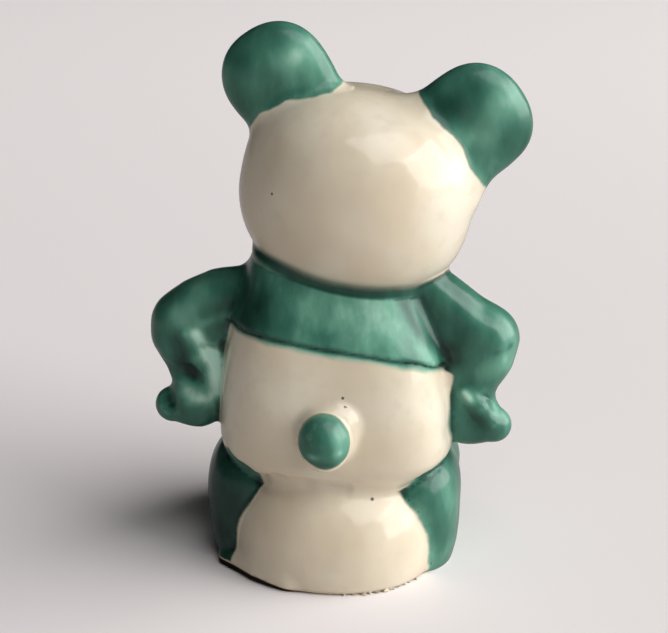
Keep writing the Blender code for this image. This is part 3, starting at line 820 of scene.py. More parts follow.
# %% [markdown]
# ## A net over the clay
#
# Space is cut into small cubes. Each cube that the skin passes through gets one knot, and knots of
# neighbouring cubes are tied into four-sided meshes. The knots then slide onto the skin.
# Because every lattice point knows its casting, the same net also has the walls between castings,
# so each piece comes out closed and the pieces share their seams knot for knot.

# %% Lattice of labelled points
LATTICE = 0.45 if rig.quick() else 0.3
COARSE = 4  # lattice steps in a coarse cube, which is tried first
CLOSE = 1.25  # coarse cubes nearer to the skin than this many of them are looked into
CHUNK = 400000
MARGIN_BELOW = 1.13
MARGIN_ABOVE = 1.0


def lattice():
    low = np.array([m / MM for m in cad_box[0]]) - SHIFT - MARGIN_BELOW
    high = np.array([m / MM for m in cad_box[1]]) - SHIFT + MARGIN_ABOVE
    counts = (np.ceil((high - low) / LATTICE / COARSE).astype(int) + 1) * COARSE
    return low, counts


def label_lattice():
    """A number for each lattice point: 0 in air, else 1 + the place of its casting in NAMES."""
    low, counts = lattice()
    coarse = counts // COARSE
    middle = low + LATTICE * (COARSE - 1) / 2
    grid = np.stack(np.meshgrid(*(np.arange(n) for n in coarse), indexing="ij"), -1)
    far = ware((middle + grid.reshape(-1, 3) * LATTICE * COARSE).astype(np.float32))
    close = (far < LATTICE * COARSE * CLOSE).reshape(coarse)
    for axis in range(3):
        close = np.repeat(close, COARSE, axis)
    labels = np.zeros(counts, np.uint8)
    places = np.argwhere(close)
    found = np.zeros(len(places), np.uint8)
    for start in range(0, len(places), CHUNK):
        chunk = slice(start, start + CHUNK)
        p = (low + places[chunk] * LATTICE).astype(np.float32)
        parts = castings(p)
        clay = ware_from(parts, p) < 0
        found[chunk] = np.where(clay, 1 + owners(parts).argmin(0), 0)
    labels[close] = found
    return low, labels


corner, labels = label_lattice()
print("lattice:", labels.shape, "clay points:", int((labels > 0).sum()))


# %% Knots and meshes of the net
def corners_of_cubes(values):
    """The eight corner values of each cube, one array per corner."""
    a, b, c = (n - 1 for n in values.shape)
    return [
        values[i : i + a, j : j + b, k : k + c] for i in (0, 1) for j in (0, 1) for k in (0, 1)
    ]


def net_of(labels):
    """Knots (as cube places) and meshes (as four knots and the castings on both sides)."""
    corners = corners_of_cubes(labels)
    lowest = np.minimum.reduce(corners)
    highest = np.maximum.reduce(corners)
    mixed = lowest != highest
    knot = np.full(mixed.shape, -1, np.int32)
    cubes = np.argwhere(mixed)
    knot[mixed] = np.arange(len(cubes))
    meshes, sides = [], []
    for axis in range(3):
        u, v = (axis + 1) % 3, (axis + 2) % 3
        before = np.take(labels, range(labels.shape[axis] - 1), axis)
        after = np.take(labels, range(1, labels.shape[axis]), axis)
        edges = np.argwhere(before != after)
        at = tuple(edges.T)
        ring = []
        for du, dv in ((-1, -1), (0, -1), (0, 0), (-1, 0)):
            cube = edges.copy()
            cube[:, u] += du
            cube[:, v] += dv
            ring.append(knot[tuple(cube.T)])
        meshes.append(np.stack(ring, 1))
        sides.append(np.stack([before[at], after[at]], 1))
    return cubes, np.concatenate(meshes), np.concatenate(sides)


cubes, meshes, sides = net_of(labels)
print("knots:", len(cubes), "meshes:", len(meshes))

# %% [markdown]
# Now the knots are moved. Those in the open air follow the skin, those on a seam also follow the
# line where two castings meet, and the hidden ones inside just spread evenly.

# %% Kinds of knots
def kinds_of_knots(labels, cubes):
    """Which knots touch air, which of those lie on a seam, and the two castings of the seam."""
    at = tuple(cubes.T)
    corners = np.stack([c[at] for c in corners_of_cubes(labels)])
    airy = (corners == 0).any(0)
    high = corners.max(0)
    low = np.where(corners == 0, 255, corners).min(0)
    return airy, airy & (low != high), np.stack([low, high], 1)


def pairs_of(quads):
    """The threads between neighbouring knots, each once."""
    ends = np.concatenate([quads[:, [k, (k + 1) % 4]] for k in range(4)])
    ends = np.sort(ends, 1).astype(np.int64)
    ends = ends[ends[:, 0] != ends[:, 1]]
    keys = np.unique(ends[:, 0] * 2**32 + ends[:, 1])
    return np.stack([keys >> 32, keys & (2**32 - 1)], 1)


airy, seam, seam_pair = kinds_of_knots(labels, cubes)
threads = pairs_of(meshes)
skin_threads = pairs_of(meshes[(sides == 0).any(1)])
seam_threads = skin_threads[seam[skin_threads].all(1)]
plain_threads = skin_threads[~seam[skin_threads].all(1)]
print("skin knots:", int(airy.sum()), "seam knots:", int(seam.sum()))


# %% Sliding the knots onto the skin
NUDGE = 0.02  # how far to each side a distance is read for its slope
LEAST_STEEP = 0.05  # of the slope's square, so that no step gets wild where it is nearly flat
SLIDES = 4


def slope_of(field, p):
    """The way in which a distance grows, by reading it a little to each side."""
    slope = np.empty_like(p)
    for axis in range(3):
        side = np.zeros(3)
        side[axis] = NUDGE
        slope[:, axis] = (field(p + side) - field(p - side)) / (2 * NUDGE)
    return slope


def slide(p, field):
    """One step, as long as a lattice step at most, to the place where the field is nought."""
    slope = slope_of(field, p)
    steep = np.maximum((slope**2).sum(1), LEAST_STEEP)
    step = -field(p) / steep
    length = np.abs(step) * np.sqrt(steep)
    step = step * np.minimum(1, LATTICE / np.maximum(length, 1e-9))
    return p + step[:, None] * slope, slope


def skin_normals(slope):
    return slope / np.linalg.norm(slope, axis=1, keepdims=True)


def neighbours_mean(p, pairs, count):
    """The mean place of each knot's neighbours, and how many it has."""
    ends = np.concatenate([pairs, pairs[:, ::-1]])
    many = np.bincount(ends[:, 0], minlength=count)
    total = [np.bincount(ends[:, 0], p[ends[:, 1], k], count) for k in range(p.shape[1])]
    return np.stack(total, 1) / np.maximum(many, 1)[:, None], many


def evened(p, which, pairs):
    """Moves some knots half way to the middle of their neighbours."""
    mean, many = neighbours_mean(p, pairs, len(p))
    ready = which & (many > 0)
    p = p.copy()
    p[ready] = 0.5 * p[ready] + 0.5 * mean[ready]
    return p


def seam_gap(p, pair):
    """Nought where a point is as far from one casting of the pair as from the other."""
    rows = owners(castings(p))
    index = np.arange(len(p))
    return rows[pair[:, 0] - 1, index] - rows[pair[:, 1] - 1, index]


def settle(p):
    """Rounds of evening out and sliding back onto the skin."""
    pair = seam_pair[seam].astype(int)
    for step in range(SLIDES):
        p = evened(p, airy & ~seam, plain_threads)
        p = evened(p, seam, seam_threads)
        p = evened(p, ~airy, threads)
        if step < SLIDES - 1:
            p[seam], _ = slide(p[seam], lambda q: seam_gap(q, pair))
        p[airy], _ = slide(p[airy], ware)
    p[airy], slope = slide(p[airy], ware)
    return p, slope


settled, slope = settle(corner + (cubes + 0.5) * LATTICE)
print("least slope of the distance on the skin:", np.linalg.norm(slope, axis=1).min().round(2))

# %% [markdown]
# In tight creases the slide folds a few meshes over, which would show as black triangles. A mesh is
# folded where it doesn't face the way the skin does, and its knots go back between their
# neighbours. Hidden knots just under the skin are then pushed in, so that none sticks out.

# %% Unfolding the net
UNFOLDS = 4
FACING = 0.35  # the least share of a mesh's face that looks the skin's way
STAY, GO_BACK = 0.3, 0.7
HIDDEN_DEPTH = 0.22


def unfold(p, way):
    on_skin = (sides == 0).any(1)
    skin = np.where(sides[on_skin][:, :1] == 0, meshes[on_skin][:, ::-1], meshes[on_skin])
    for _ in range(UNFOLDS):
        faces = np.cross(p[skin[:, 2]] - p[skin[:, 0]], p[skin[:, 3]] - p[skin[:, 1]])
        along = (faces * way[skin].mean(1)).sum(1)
        folded = along < FACING * np.linalg.norm(faces, axis=1)
        print("folded meshes:", int(folded.sum()))
        there = np.unique(skin[folded])
        mean, _ = neighbours_mean(p, skin_threads, len(p))
        p[there] = STAY * p[there] + GO_BACK * mean[there]
    p[airy], slope = slide(p[airy], ware)
    return p, slope


def push_in(p):
    ends = np.concatenate([threads, threads[:, ::-1]])
    under = np.unique(ends[airy[ends[:, 0]] & ~airy[ends[:, 1]], 1])
    deep = ware(p[under])
    print("hidden knots that stick out:", int((deep > 0).sum()))
    outward = skin_normals(slope_of(ware, p[under]))
    p[under] -= np.maximum(deep + HIDDEN_DEPTH, 0)[:, None] * outward
    return p


def on_all_knots(slope):
    """The skin's normals for skin knots, and noughts for hidden ones."""
    normals = np.zeros((len(cubes), 3))
    normals[airy] = skin_normals(slope)
    return normals


knots, slope = unfold(settled, on_all_knots(slope))
knots = push_in(knots)
normals = on_all_knots(slope)
print("furthest skin knot from the skin, mm:", np.abs(ware(knots[airy])).max().round(4))

# %% [markdown]
# ## What the finish needs to know
#
# The glaze is dark where it pools in creases and pale where it runs thin over ridges, and the
# creases are also darkened as painted shade. To find those, the net is evened out a lot on a copy:
# it rises out of the creases and sinks under the ridges, and how far it moved is kept for the
# material.

# %% Creases and ridges
def smoothed_away(p, rounds):
    for _ in range(rounds):
        mean, many = neighbours_mean(p, skin_threads, len(p))
        p = np.where((many > 0)[:, None], 0.4 * p + 0.6 * mean, p)
    return p


def lift(reach):
    """How far the evened net rises out of the clay, for a reach in millimetres."""
    rounds = max(1, round((reach / LATTICE) ** 2))
    return ((smoothed_away(knots, rounds) - knots) * normals).sum(1)


fine_lift = lift(0.7)
wide_lift = lift(1.9)
print("lift, mm:", fine_lift.min().round(3), fine_lift.max().round(3), wide_lift.max().round(3))

# %% [markdown]
# ## Where the green goes
#
# The painter went round each limb and a little over its joint, down from the neck to a line on the
# back, and round the ears. So the edge of the paint is again a distance, now along the skin: below
# nought is green. The material wobbles that edge with noise, as a brush does. The face isn't seen
# from behind; it gets the plain patches, nose and mouth that any small panda has.

# %% Paint
FAR = 9.0  # stands for no mark nearby
ALONG_SKIN = 0.6  # makes the difference of two distances one along the skin
# How far the paint went past each joint
ARM_SPILL = 0.2
LEG_SPILL = 0.1
BAND_SPILL = 0.72
NECK_SPILL = 0.2
# How far off each piece there can still be paint
LEG_FURTHEST = 1.5
LEFT_ARM_FURTHEST = 1.5
RIGHT_ARM_FURTHEST = 0.95
EAR_FURTHEST = 1.8
TAIL_FURTHEST = 0.3
BAND_FURTHEST = 1.5
THIGH_FURTHEST = 3.2
BARE_WEB = ((-14.9, 4.6, 28.2), (0.9, 1.8, 2.6))  # left cream, in the crook of the right arm
BARE_WEB_FINGER = 1.0
LEG_STROKE = ((13.8, 8.3, 4.6), 1.1, (13.9, 8.9, 0.6), 1.3)  # down the back of the left leg
LEG_STROKE_FINGER = 1.5
BEAD_RIM = 0.12  # the tail's bead stays white by this much more
# The camera's way and a depth along it: round the tail's edge, as the camera sees it, the green is left off as a pale
# rim, a painted highlight.
TAIL_PAINTED_RIM_WAY = (-0.11, 0.94, 0.33)  # the tail's paint was dabbed on from this side,
TAIL_PAINTED_RIM_DEPTH = 1.0  # down to this height on the egg
THIGH_LOWEST = 12.5
THIGH_STEEPNESS = 1.4
# The paint's upper edge over each thigh, on the torso: place across, height
THIGH_LINE = (
    (-16.0, 17.6), (-13.5, 17.7), (-12.3, 16.8), (-11.6, 14.6), (-10.4, 12.6), (-9.0, 10.0),
    (7.0, 10.0), (8.2, 12.9), (9.0, 14.6), (9.3, 16.6), (9.9, 17.9), (11.7, 18.7), (16.0, 19.3),
)
# The paint's edge round each ear: place across, how far out from the skull
LEFT_EAR_EDGE = (
    (-7.0, -2.6), (-5.2, -2.4), (-2.3, -1.2), (-0.1, -0.2), (1.8, 0.2), (3.9, 0.5), (7.0, -0.5),
)
RIGHT_EAR_EDGE = (
    (-9.0, -0.6), (-6.6, -0.5), (-3.9, -0.3), (-1.6, 0.2), (0.4, 0.0), (1.9, -0.5), (3.5, -1.1),
    (7.0, -1.4),
)
EYE_PATCH = (5.7, 2.0, 3.3, 4.3, math.radians(32))  # across, up, half width, half height, turn
EYE = (5.0, 2.6, 1.35)  # across, up, radius
NOSE_PAINT = (2.2, 1.5)
SMILE = (1.7, -4.2, 1.7)  # the arc on each side: across, up, radius
SMILE_TOP = -4.0
STEM = (-4.3, -2.0)  # from the smile up to the nose
MOUTH_LINE = 0.22
FACE_FRONT = -4.0  # the face's paint lies in front of this


def oval(x, y, middle_x, middle_y, half_x, half_y, turn=0.0):
    cos, sin = math.cos(turn), math.sin(turn)
    a, b = x - middle_x, y - middle_y
    u, v = cos * a + sin * b, cos * b - sin * a
    return from_gauge(gauge(u, v, half_x, half_y, 2.0), np.hypot(u, v))


print("0.1 mm off the middle of a circle of radius 2:", oval(0.1, 0.0, 0.0, 0.0, 2.0, 2.0))


# %% Edge of the green
def ear_edge(p, distance, placed, line):
    across, _, along = ear_frame(p, *placed)
    return np.maximum(np.interp(across, *np.array(line).T) - along, distance - EAR_FURTHEST)


def limb_edge(limb, body, spill, furthest):
    return np.maximum(ALONG_SKIN * (limb - body) - spill, limb - furthest)


def limbs_edge(p, parts):
    body = np.minimum.reduce([parts[name] for name in SHELLS])
    legs = np.minimum(parts["left_leg"], parts["right_leg"])
    right_arm = roll(p, RIGHT_ARM, ARM_BEND_FINGER)
    edge = np.minimum.reduce([
        limb_edge(legs, body, LEG_SPILL, LEG_FURTHEST),
        limb_edge(parts["left_arm"], body, ARM_SPILL, LEFT_ARM_FURTHEST),
        limb_edge(right_arm, body, ARM_SPILL, RIGHT_ARM_FURTHEST),
    ])
    edge = soft_cut(edge, egg(p, *BARE_WEB), BARE_WEB_FINGER)
    thigh = (p[:, 2] - np.interp(p[:, 0], *np.array(THIGH_LINE).T)) / THIGH_STEEPNESS
    thigh = np.maximum.reduce([thigh, legs - THIGH_FURTHEST, THIGH_LOWEST - p[:, 2]])
    return soft_join(np.minimum(edge, thigh), rod(p, *LEG_STROKE), LEG_STROKE_FINGER)


def tail_edge(p, parts):
    tail_only = (parts["tail"] - parts["tail_slip_bead"]) / 2 + BEAD_RIM
    # Round the tail's edge, as seen along the camera's way, the green is left off: a painted highlight.
    behind = TAIL_PAINTED_RIM_DEPTH - (p - np.array(TAIL_MIDDLE)) @ np.array(TAIL_PAINTED_RIM_WAY)
    return np.maximum.reduce([tail_only, parts["tail"] - TAIL_FURTHEST, behind])


def band_edge(p, parts):
    neck = ALONG_SKIN * (parts["torso"] - parts["head"]) - NECK_SPILL
    below = -above_band_line(p) - BAND_SPILL
    return np.maximum.reduce([below, neck, parts["torso"] - BAND_FURTHEST])


def eye_patches(p):
    x, y, z = head_frame(p).T
    return np.where(y < FACE_FRONT, oval(np.abs(x), z, *EYE_PATCH), FAR)


def green_edge(p, parts):
    return np.minimum.reduce([
        limbs_edge(p, parts),
        ear_edge(p, parts["left_ear"], LEFT_EAR, LEFT_EAR_EDGE),
        ear_edge(p, parts["right_ear"], RIGHT_EAR, RIGHT_EAR_EDGE),
        tail_edge(p, parts),
        band_edge(p, parts),
        eye_patches(p),
    ])


print("painted places with a line of their own:", len((THIGH_LINE, LEFT_EAR_EDGE, RIGHT_EAR_EDGE)))


# %% Edges of the dark marks and of the glaze
# Behind on the left a band of the foot is painted black, as the shadow in a gap under it.
PAINTED_SHADOW_BAND = (0.115, -0.8, 1.08)  # its height: rise per mm to the left, where it starts, highest
PAINTED_SHADOW_BAND_BEHIND = (-2, 8)  # it starts this far back, and is full this much further back
WIPED = 0.1
INSIDE = -3.0  # the mark of the inside
INSIDE_RIM = 0.3


def dark_edge(p):
    """Eyes, nose and mouth."""
    x, y, z = head_frame(p).T
    eye = np.hypot(np.abs(x) - EYE[0], z - EYE[1]) - EYE[2]
    nose = oval(x, z, 0, NOSE[0][2], *NOSE_PAINT)
    smile = np.abs(np.hypot(np.abs(x) - SMILE[0], z - SMILE[1]) - SMILE[2]) - MOUTH_LINE
    smile = np.where(z < SMILE_TOP, smile, FAR)
    stem = np.maximum(np.abs(x) - MOUTH_LINE, np.maximum(STEM[0] - z, z - STEM[1]))
    face = np.minimum.reduce([eye, nose, smile, stem])
    return np.where(y < FACE_FRONT, face, FAR)


def glaze_end(p):
    """Height at which the glaze ends: behind on the left a band under it is painted black, as the shadow in a gap
    under the foot.
    """
    slant, start, highest = PAINTED_SHADOW_BAND
    bare = np.clip(slant * (p[:, 0] - start), 0, highest)
    behind = np.clip((p[:, 1] - PAINTED_SHADOW_BAND_BEHIND[0]) / PAINTED_SHADOW_BAND_BEHIND[1], 0, 1)
    return foot_lift(p) + bare * behind


def bare_edge(p):
    """Unglazed clay: the foot, wiped before firing, the band behind on the left that is painted as shadow, and the
    inside.
    """
    foot = p[:, 2] - glaze_end(p) - WIPED
    return np.minimum(foot, np.where(hollow(p) < INSIDE_RIM, INSIDE, FAR))


# The dry foot named here is the band painted black as shadow.
print("highest part of the dry foot, mm:", PAINTED_SHADOW_BAND[2])


# %% [markdown]
# A brush that has just been dipped leaves a dark, full coat. One that is nearly dry leaves a pale
# one, and so does glaze that ran off. Those loads are kept as strokes: two ends, how far the stroke
# reaches to its sides, and how much paler (above nought) or darker it made the green. Many of the
# strokes are also painted light and shade: darker on the shaded left sides, in the armpit and along
# folds, paler where the light falls, and painted highlights on the ears and the right hand.

# %% Loads of the brush
BRUSH_LOADS_AND_PAINTED_LIGHT = (
    # Left arm: painted light in the crook, on the elbow, the upper arm and the hand; painted shade on the forearm's
    # left side and in the wrist's crease.
    ((17.2, 5.5, 31.8), (15.9, 5.0, 28.6), 0.8, 0.62),  # left arm
    ((14.8, 5.0, 28.6), (14.6, 5.4, 23.6), 1.5, 0.84),
    ((19.9, 4.4, 31.0), (18.2, 4.9, 26.8), 1.3, -0.30),
    ((19.8, 5.5, 34.6), (18.4, 5.6, 32.2), 1.6, 0.26),
    ((17.6, 5.6, 36.4), (12.6, 5.0, 38.4), 2.0, 0.14),
    ((16.2, 5.6, 33.4), (11.6, 6.0, 35.4), 0.7, 0.22),
    ((17.2, 5.4, 26.2), (19.4, 5.4, 27.4), 1.1, -0.30),
    ((18.5, 5.5, 23.4), (16.3, 5.7, 22.4), 1.2, 0.42),
    ((21.3, 4.5, 21.9), (21.6, 4.5, 22.6), 0.8, -0.25),
    # Shoulder band: painted shade on its left side, painted light on its right side.
    ((11.5, 6.5, 38.5), (8.2, 9.3, 35.6), 3.4, -0.40),  # shoulder band
    ((-4.0, 10.0, 38.0), (-8.8, 9.4, 35.6), 3.2, 0.24),
    ((5.4, 10.4, 34.4), (-1.0, 11.0, 34.2), 0.9, -0.10),
    ((-9.9, 7.8, 37.9), (-11.7, 8.0, 34.4), 0.7, -0.26),
    ((-12.0, 8.6, 32.2), (-13.8, 7.6, 30.6), 1.4, 0.22),
    # Right arm: painted shade in the armpit and along the elbow's fold, painted light on the forearm and hand, and a
    # painted highlight line along the hand.
    ((-16.4, 5.7, 31.6), (-18.2, 5.5, 33.8), 1.5, -0.20),  # right arm
    ((-15.4, 5.4, 31.0), (-16.2, 5.4, 29.6), 1.1, -0.30),
    ((-21.4, 5.0, 30.9), (-23.4, 4.0, 31.6), 0.35, -0.22),
    ((-19.6, 5.2, 27.8), (-22.3, 4.7, 29.6), 1.5, 0.18),
    ((-17.6, 5.5, 24.6), (-19.6, 5.1, 25.0), 1.2, 0.26),
    ((-17.6, 5.6, 25.4), (-20.8, 4.8, 21.4), 0.5, 0.45),
    ((-21.6, 4.0, 22.6), (-22.4, 3.6, 21.6), 1.3, 0.34),
    # Ears: painted highlights on their lit parts, painted shade on the left part of the right ear.
    ((5.6, 3.0, 67.2), (3.6, 2.7, 68.4), 1.8, 0.24),  # ears
    ((-17.2, 2.8, 64.6), (-15.0, 2.8, 62.6), 2.2, -0.22),
    ((-21.8, 2.5, 63.0), (-19.4, 3.0, 59.0), 2.0, 0.30),
    ((-16.1, 3.5, 59.5), (-17.2, 3.4, 58.6), 1.4, 0.26),
    # Left leg: painted shade all over this shaded side.
    ((13.8, 6.0, 13.0), (13.4, 7.9, 2.0), 6.0, -0.40),  # left leg
    # Tail: painted shade at its upper left, painted light at its right, and streaks of the brush.
    ((1.4, 17.4, 23.8), (0.8, 17.6, 21.6), 1.8, -0.14),  # tail
    ((-2.4, 17.3, 23.4), (-2.8, 17.2, 21.4), 1.0, 0.20),
    ((0.9, 17.8, 20.7), (-2.6, 17.0, 21.2), 0.45, 0.26),
    ((1.4, 17.4, 19.6), (-1.8, 17.2, 19.4), 0.6, -0.24),
)


# Brush loads together with painted light and shade, as one number for each point.
def brush_load_and_painted_light(p):
    total = np.zeros(len(p))
    for start, end, reach, load in BRUSH_LOADS_AND_PAINTED_LIGHT:
        total += load * np.exp(-((np.maximum(rod(p, start, 0, end, 0), 0) / reach) ** 2))
    return total


print("loads of the brush:", len(BRUSH_LOADS_AND_PAINTED_LIGHT))

# %% [markdown]
# Every skin knot now gets its marks, which the glaze reads. The neck's mark is nought in the groove,
# above it on the torso and below it on the head, and it leaves both quickly where a limb begins.

# %% Marks on the knots
NECK_REACH = 3.0
ABOVE_THE_NECK = 46
ON_CASTING = 0.3
NECK_RIM = 0.25  # off torso and head by more than this,
NECK_LEAVES = 6  # the mark leaves the neck this many times as fast


def neck_mark(p, parts):
    line = np.clip(parts["head"] - parts["torso"], -NECK_REACH, NECK_REACH)
    off_both = np.clip(np.minimum(parts["torso"], parts["head"]) - NECK_RIM, 0, 2)
    return np.where(p[:, 2] > ABOVE_THE_NECK, -NECK_REACH, line + NECK_LEAVES * off_both)


def band_mark(p, parts):
    return np.where(parts["torso"] < ON_CASTING, above_band_line(p), FAR)


skin_places = knots[airy]
skin_parts = castings(skin_places)
marks = {
    # The load mark carries the brush's loads and the painted light and shade.
    "load": brush_load_and_painted_light(skin_places),
    "neck_line": neck_mark(skin_places, skin_parts),
    "green_edge": green_edge(skin_places, skin_parts),
    "dark_edge": dark_edge(skin_places),
    "bare_edge": bare_edge(skin_places),
    "band_line": band_mark(skin_places, skin_parts),
    "fine_lift": fine_lift[airy],
    "wide_lift": wide_lift[airy],
}
print("green share of the skin:", round(float((marks["green_edge"] < 0).mean()), 2))


# %% [markdown]
# ## Eleven closed castings
#
# Each casting takes the meshes that have it on one side. Its skin keeps the exact slope of the
# clay as its shading, so no seam shows between two castings. The walls inside, which nobody sees,
# keep the shading that Blender works out.

# %% Castings as Blender meshes
def piece_mesh(number, name):
    """One closed mesh from the net: the quads with this casting on one side, turned outwards."""
    ahead = meshes[sides[:, 0] == number]
    behind = meshes[sides[:, 1] == number][:, ::-1]
    quads = np.concatenate([ahead, behind])
    skin = np.concatenate(
        [(sides[sides[:, 0] == number] == 0).any(1), (sides[sides[:, 1] == number] == 0).any(1)]
    )
    used, local = np.unique(quads, return_inverse=True)
    local = local.reshape(quads.shape)
    mesh = bpy.data.meshes.new(name)
    mesh.vertices.add(len(used))
    mesh.vertices.foreach_set("co", ((knots[used] + SHIFT) * MM).astype(np.float32).ravel())
    mesh.loops.add(local.size)
    mesh.loops.foreach_set("vertex_index", local.ravel().astype(np.int32))
    mesh.polygons.add(len(local))
    mesh.polygons.foreach_set("loop_start", np.arange(len(local), dtype=np.int32) * 4)
    mesh.update(calc_edges=True)
    for mark, values in marks.items():
        whole = np.full(len(knots), FAR)
        whole[airy] = values
        layer = mesh.attributes.new(mark, "FLOAT", "POINT")
        layer.data.foreach_set("value", whole[used].astype(np.float32))
    shade = normals[quads]
    shade[~skin] = 0.0
    mesh.shade_smooth()
    mesh.normals_split_custom_set(shade.reshape(-1, 3))
    return mesh


pieces = {}
for number, name in enumerate(NAMES, 1):
    mesh = piece_mesh(number, name)
    piece = bpy.data.objects.new(f"{name}_ware", mesh)
    bpy.context.scene.collection.objects.link(piece)
    pieces[name] = piece
    print(name, "triangles:", 2 * len(mesh.polygons))

# %% [markdown]
# ## Glaze
#
# One glaze covers the cream and the green alike, so one material does for all castings. Small
# helpers keep the wiring short: `node` adds a node and fills its sockets, `calc` does one sum, and
# `step_between` goes softly from one value to another.

# %% Wiring helpers
def node(tree, kind, inputs=None, **settings):
    """Adds a node. An input is a plain value, or the socket of another node to link to."""
    made = tree.nodes.new(kind)
    for name, value in settings.items():
        setattr(made, name, value)
    for key, value in (inputs or {}).items():
        if isinstance(value, bpy.types.NodeSocket):
            tree.links.new(value, made.inputs[key])
        else:
            made.inputs[key].default_value = value
    return made


def calc(tree, operation, a, b=0.0, c=0.0, clamp=False):
    made = node(
        tree, "ShaderNodeMath", {0: a, 1: b, 2: c}, operation=operation, use_clamp=clamp
    )
    return made.outputs[0]


def step_between(tree, value, low, high, to_low=0.0, to_high=1.0):
    """Goes smoothly from one value to another as `value` goes from low to high."""
    made = node(
        tree,
        "ShaderNodeMapRange",
        {"Value": value, "From Min": low, "From Max": high, "To Min": to_low, "To Max": to_high},
        interpolation_type="SMOOTHSTEP",
    )
    return made.outputs[0]


def mix(tree, share, a, b):
    """Colour a where the share is 0, colour b where it is 1."""
    return node(tree, "ShaderNodeMix", {0: share, 6: a, 7: b}, data_type="RGBA").outputs[2]


def mark(tree, name):
    """One of the marks that every knot carries."""
    return node(tree, "ShaderNodeAttribute", attribute_name=name).outputs["Fac"]


def place_in_mm(tree):
    place = node(tree, "ShaderNodeTexCoord").outputs["Object"]
    scaled = node(tree, "ShaderNodeVectorMath", {0: place, "Scale": 1 / MM}, operation="SCALE")
    return scaled.outputs[0]


def noise(tree, place, per_mm, detail=2.0):
    """Noise from -0.5 to 0.5, with a number of features per millimetre."""
    made = node(tree, "ShaderNodeTexNoise", {"Vector": place, "Scale": per_mm, "Detail": detail})
    return calc(tree, "SUBTRACT", made.outputs["Fac"], 0.5)


def ramp(tree, value, stops):
    made = node(tree, "ShaderNodeValToRGB", {"Fac": value})
    points = made.color_ramp.elements
    while len(points) < len(stops):
        points.new(0.5)
    for point, (place, colour) in zip(points, stops):
        point.position = place
        point.color = (*colour, 1.0)
    return made.outputs["Color"]


def new_material(name):
    """A material with its node tree and its shader."""
    material = bpy.data.materials.new(name)
    material.use_nodes = True
    return material, material.node_tree, material.node_tree.nodes["Principled BSDF"]


print("marks that the glaze can read:", ", ".join(marks))

# %% [markdown]
# The green is nearly black where the coat is thick and milky where it is thin, so it is a ramp of
# colours. The cream wanders between four near ones, and gets browner in creases, partly from a stain
# of glaze and partly as painted shade.

# %% Colours of the glaze
GREEN_STOPS = (
    (0.0, (0.004, 0.022, 0.016)),
    (0.24, (0.018, 0.080, 0.056)),
    (0.44, (0.050, 0.175, 0.124)),
    (0.64, (0.140, 0.350, 0.255)),
    (0.8, (0.360, 0.600, 0.475)),
    # The palest green is reached mostly by the painted light in the crook of the left arm.
    (1.0, (0.560, 0.880, 0.730)),
)
CREAM = (0.72, 0.645, 0.505, 1.0)
CREAM_WARM = (0.67, 0.575, 0.430, 1.0)
CREAM_PALE = (0.76, 0.70, 0.575, 1.0)
CREAM_GREY = (0.655, 0.575, 0.445, 1.0)
# Colour of the creases in the cream: a stain of glaze that pools there, and painted shade.
CREASE_STAIN_AND_SHADE = (0.40, 0.30, 0.20, 1.0)
CREASE_STAIN_AND_SHADE_BY_GREEN = (0.17, 0.19, 0.12, 1.0)
DARK = (0.012, 0.014, 0.012, 1.0)
CLAY = (0.62, 0.50, 0.37, 1.0)
# Black of the painted shadow on the foot.
PAINTED_FOOT_SHADOW = (0.012, 0.009, 0.007, 1.0)
print("green runs from", GREEN_STOPS[0][1], "to", GREEN_STOPS[-1][1])

# %% [markdown]
# ### The paint's edge
#
# Two noises make the edge wobble, as a brush does, and less so at the neck, where the brush ran
# along the groove. The lip is the little slope under the shoulder band. On it and at the neck the
# green fades out a little more softly than elsewhere.

# %% The paint's edge
SLOW_WOBBLE = 0.7
SLOW_WOBBLES_PER_MM = 0.35
FAST_WOBBLE = 0.12
FAST_WOBBLES_PER_MM = 2.0
LIP_HEIGHTS = (0.15, -0.35)  # above the band's lower line, mm
NEAR_NECK = (2.0, 0.6)  # from the neck's crease, mm
CALM_AT_NECK = 0.7
FADE = 0.18
SOFTER_FADE = 0.25


def paint_edge(tree, place, line, neck_line):
    """The wobbling distance to the paint's edge, the share of green, and the lip."""
    slow = noise(tree, place, SLOW_WOBBLES_PER_MM, 1.0)
    fast = noise(tree, place, FAST_WOBBLES_PER_MM)
    wobble = calc(tree, "MULTIPLY_ADD", fast, FAST_WOBBLE, calc(tree, "MULTIPLY", slow, SLOW_WOBBLE))
    lip = step_between(tree, line, *LIP_HEIGHTS)
    by_neck = step_between(tree, calc(tree, "ABSOLUTE", neck_line), *NEAR_NECK)
    calm = calc(tree, "MULTIPLY_ADD", by_neck, -CALM_AT_NECK, 1.0)
    edge = calc(tree, "ADD", mark(tree, "green_edge"), calc(tree, "MULTIPLY", wobble, calm))
    soft = calc(tree, "MULTIPLY_ADD", calc(tree, "MAXIMUM", by_neck, lip), SOFTER_FADE, FADE)
    green = step_between(tree, edge, soft, calc(tree, "MULTIPLY", soft, -1.0))
    return edge, green, lip


print("the paint's edge wobbles by up to, mm:", (SLOW_WOBBLE + FAST_WOBBLE) / 2)

# %% [markdown]
# ### How thick the coat is
#
# One tone from 0 to 1 reads the ramp. Glaze is thick in creases and hollows, and where it pools on
# the band's lower line, and these are darkened further as painted shade. It is thin on ridges, on
# the lip and towards the paint's edge. The streaks of the brush, strongest on the shoulder band, and
# a slow cloud do the rest, and the loads of the brush, painted light and shade among them, are added
# as they are. The neck's crease has a tone of its own, dark for the glaze that pools there and as
# painted shade under the head.

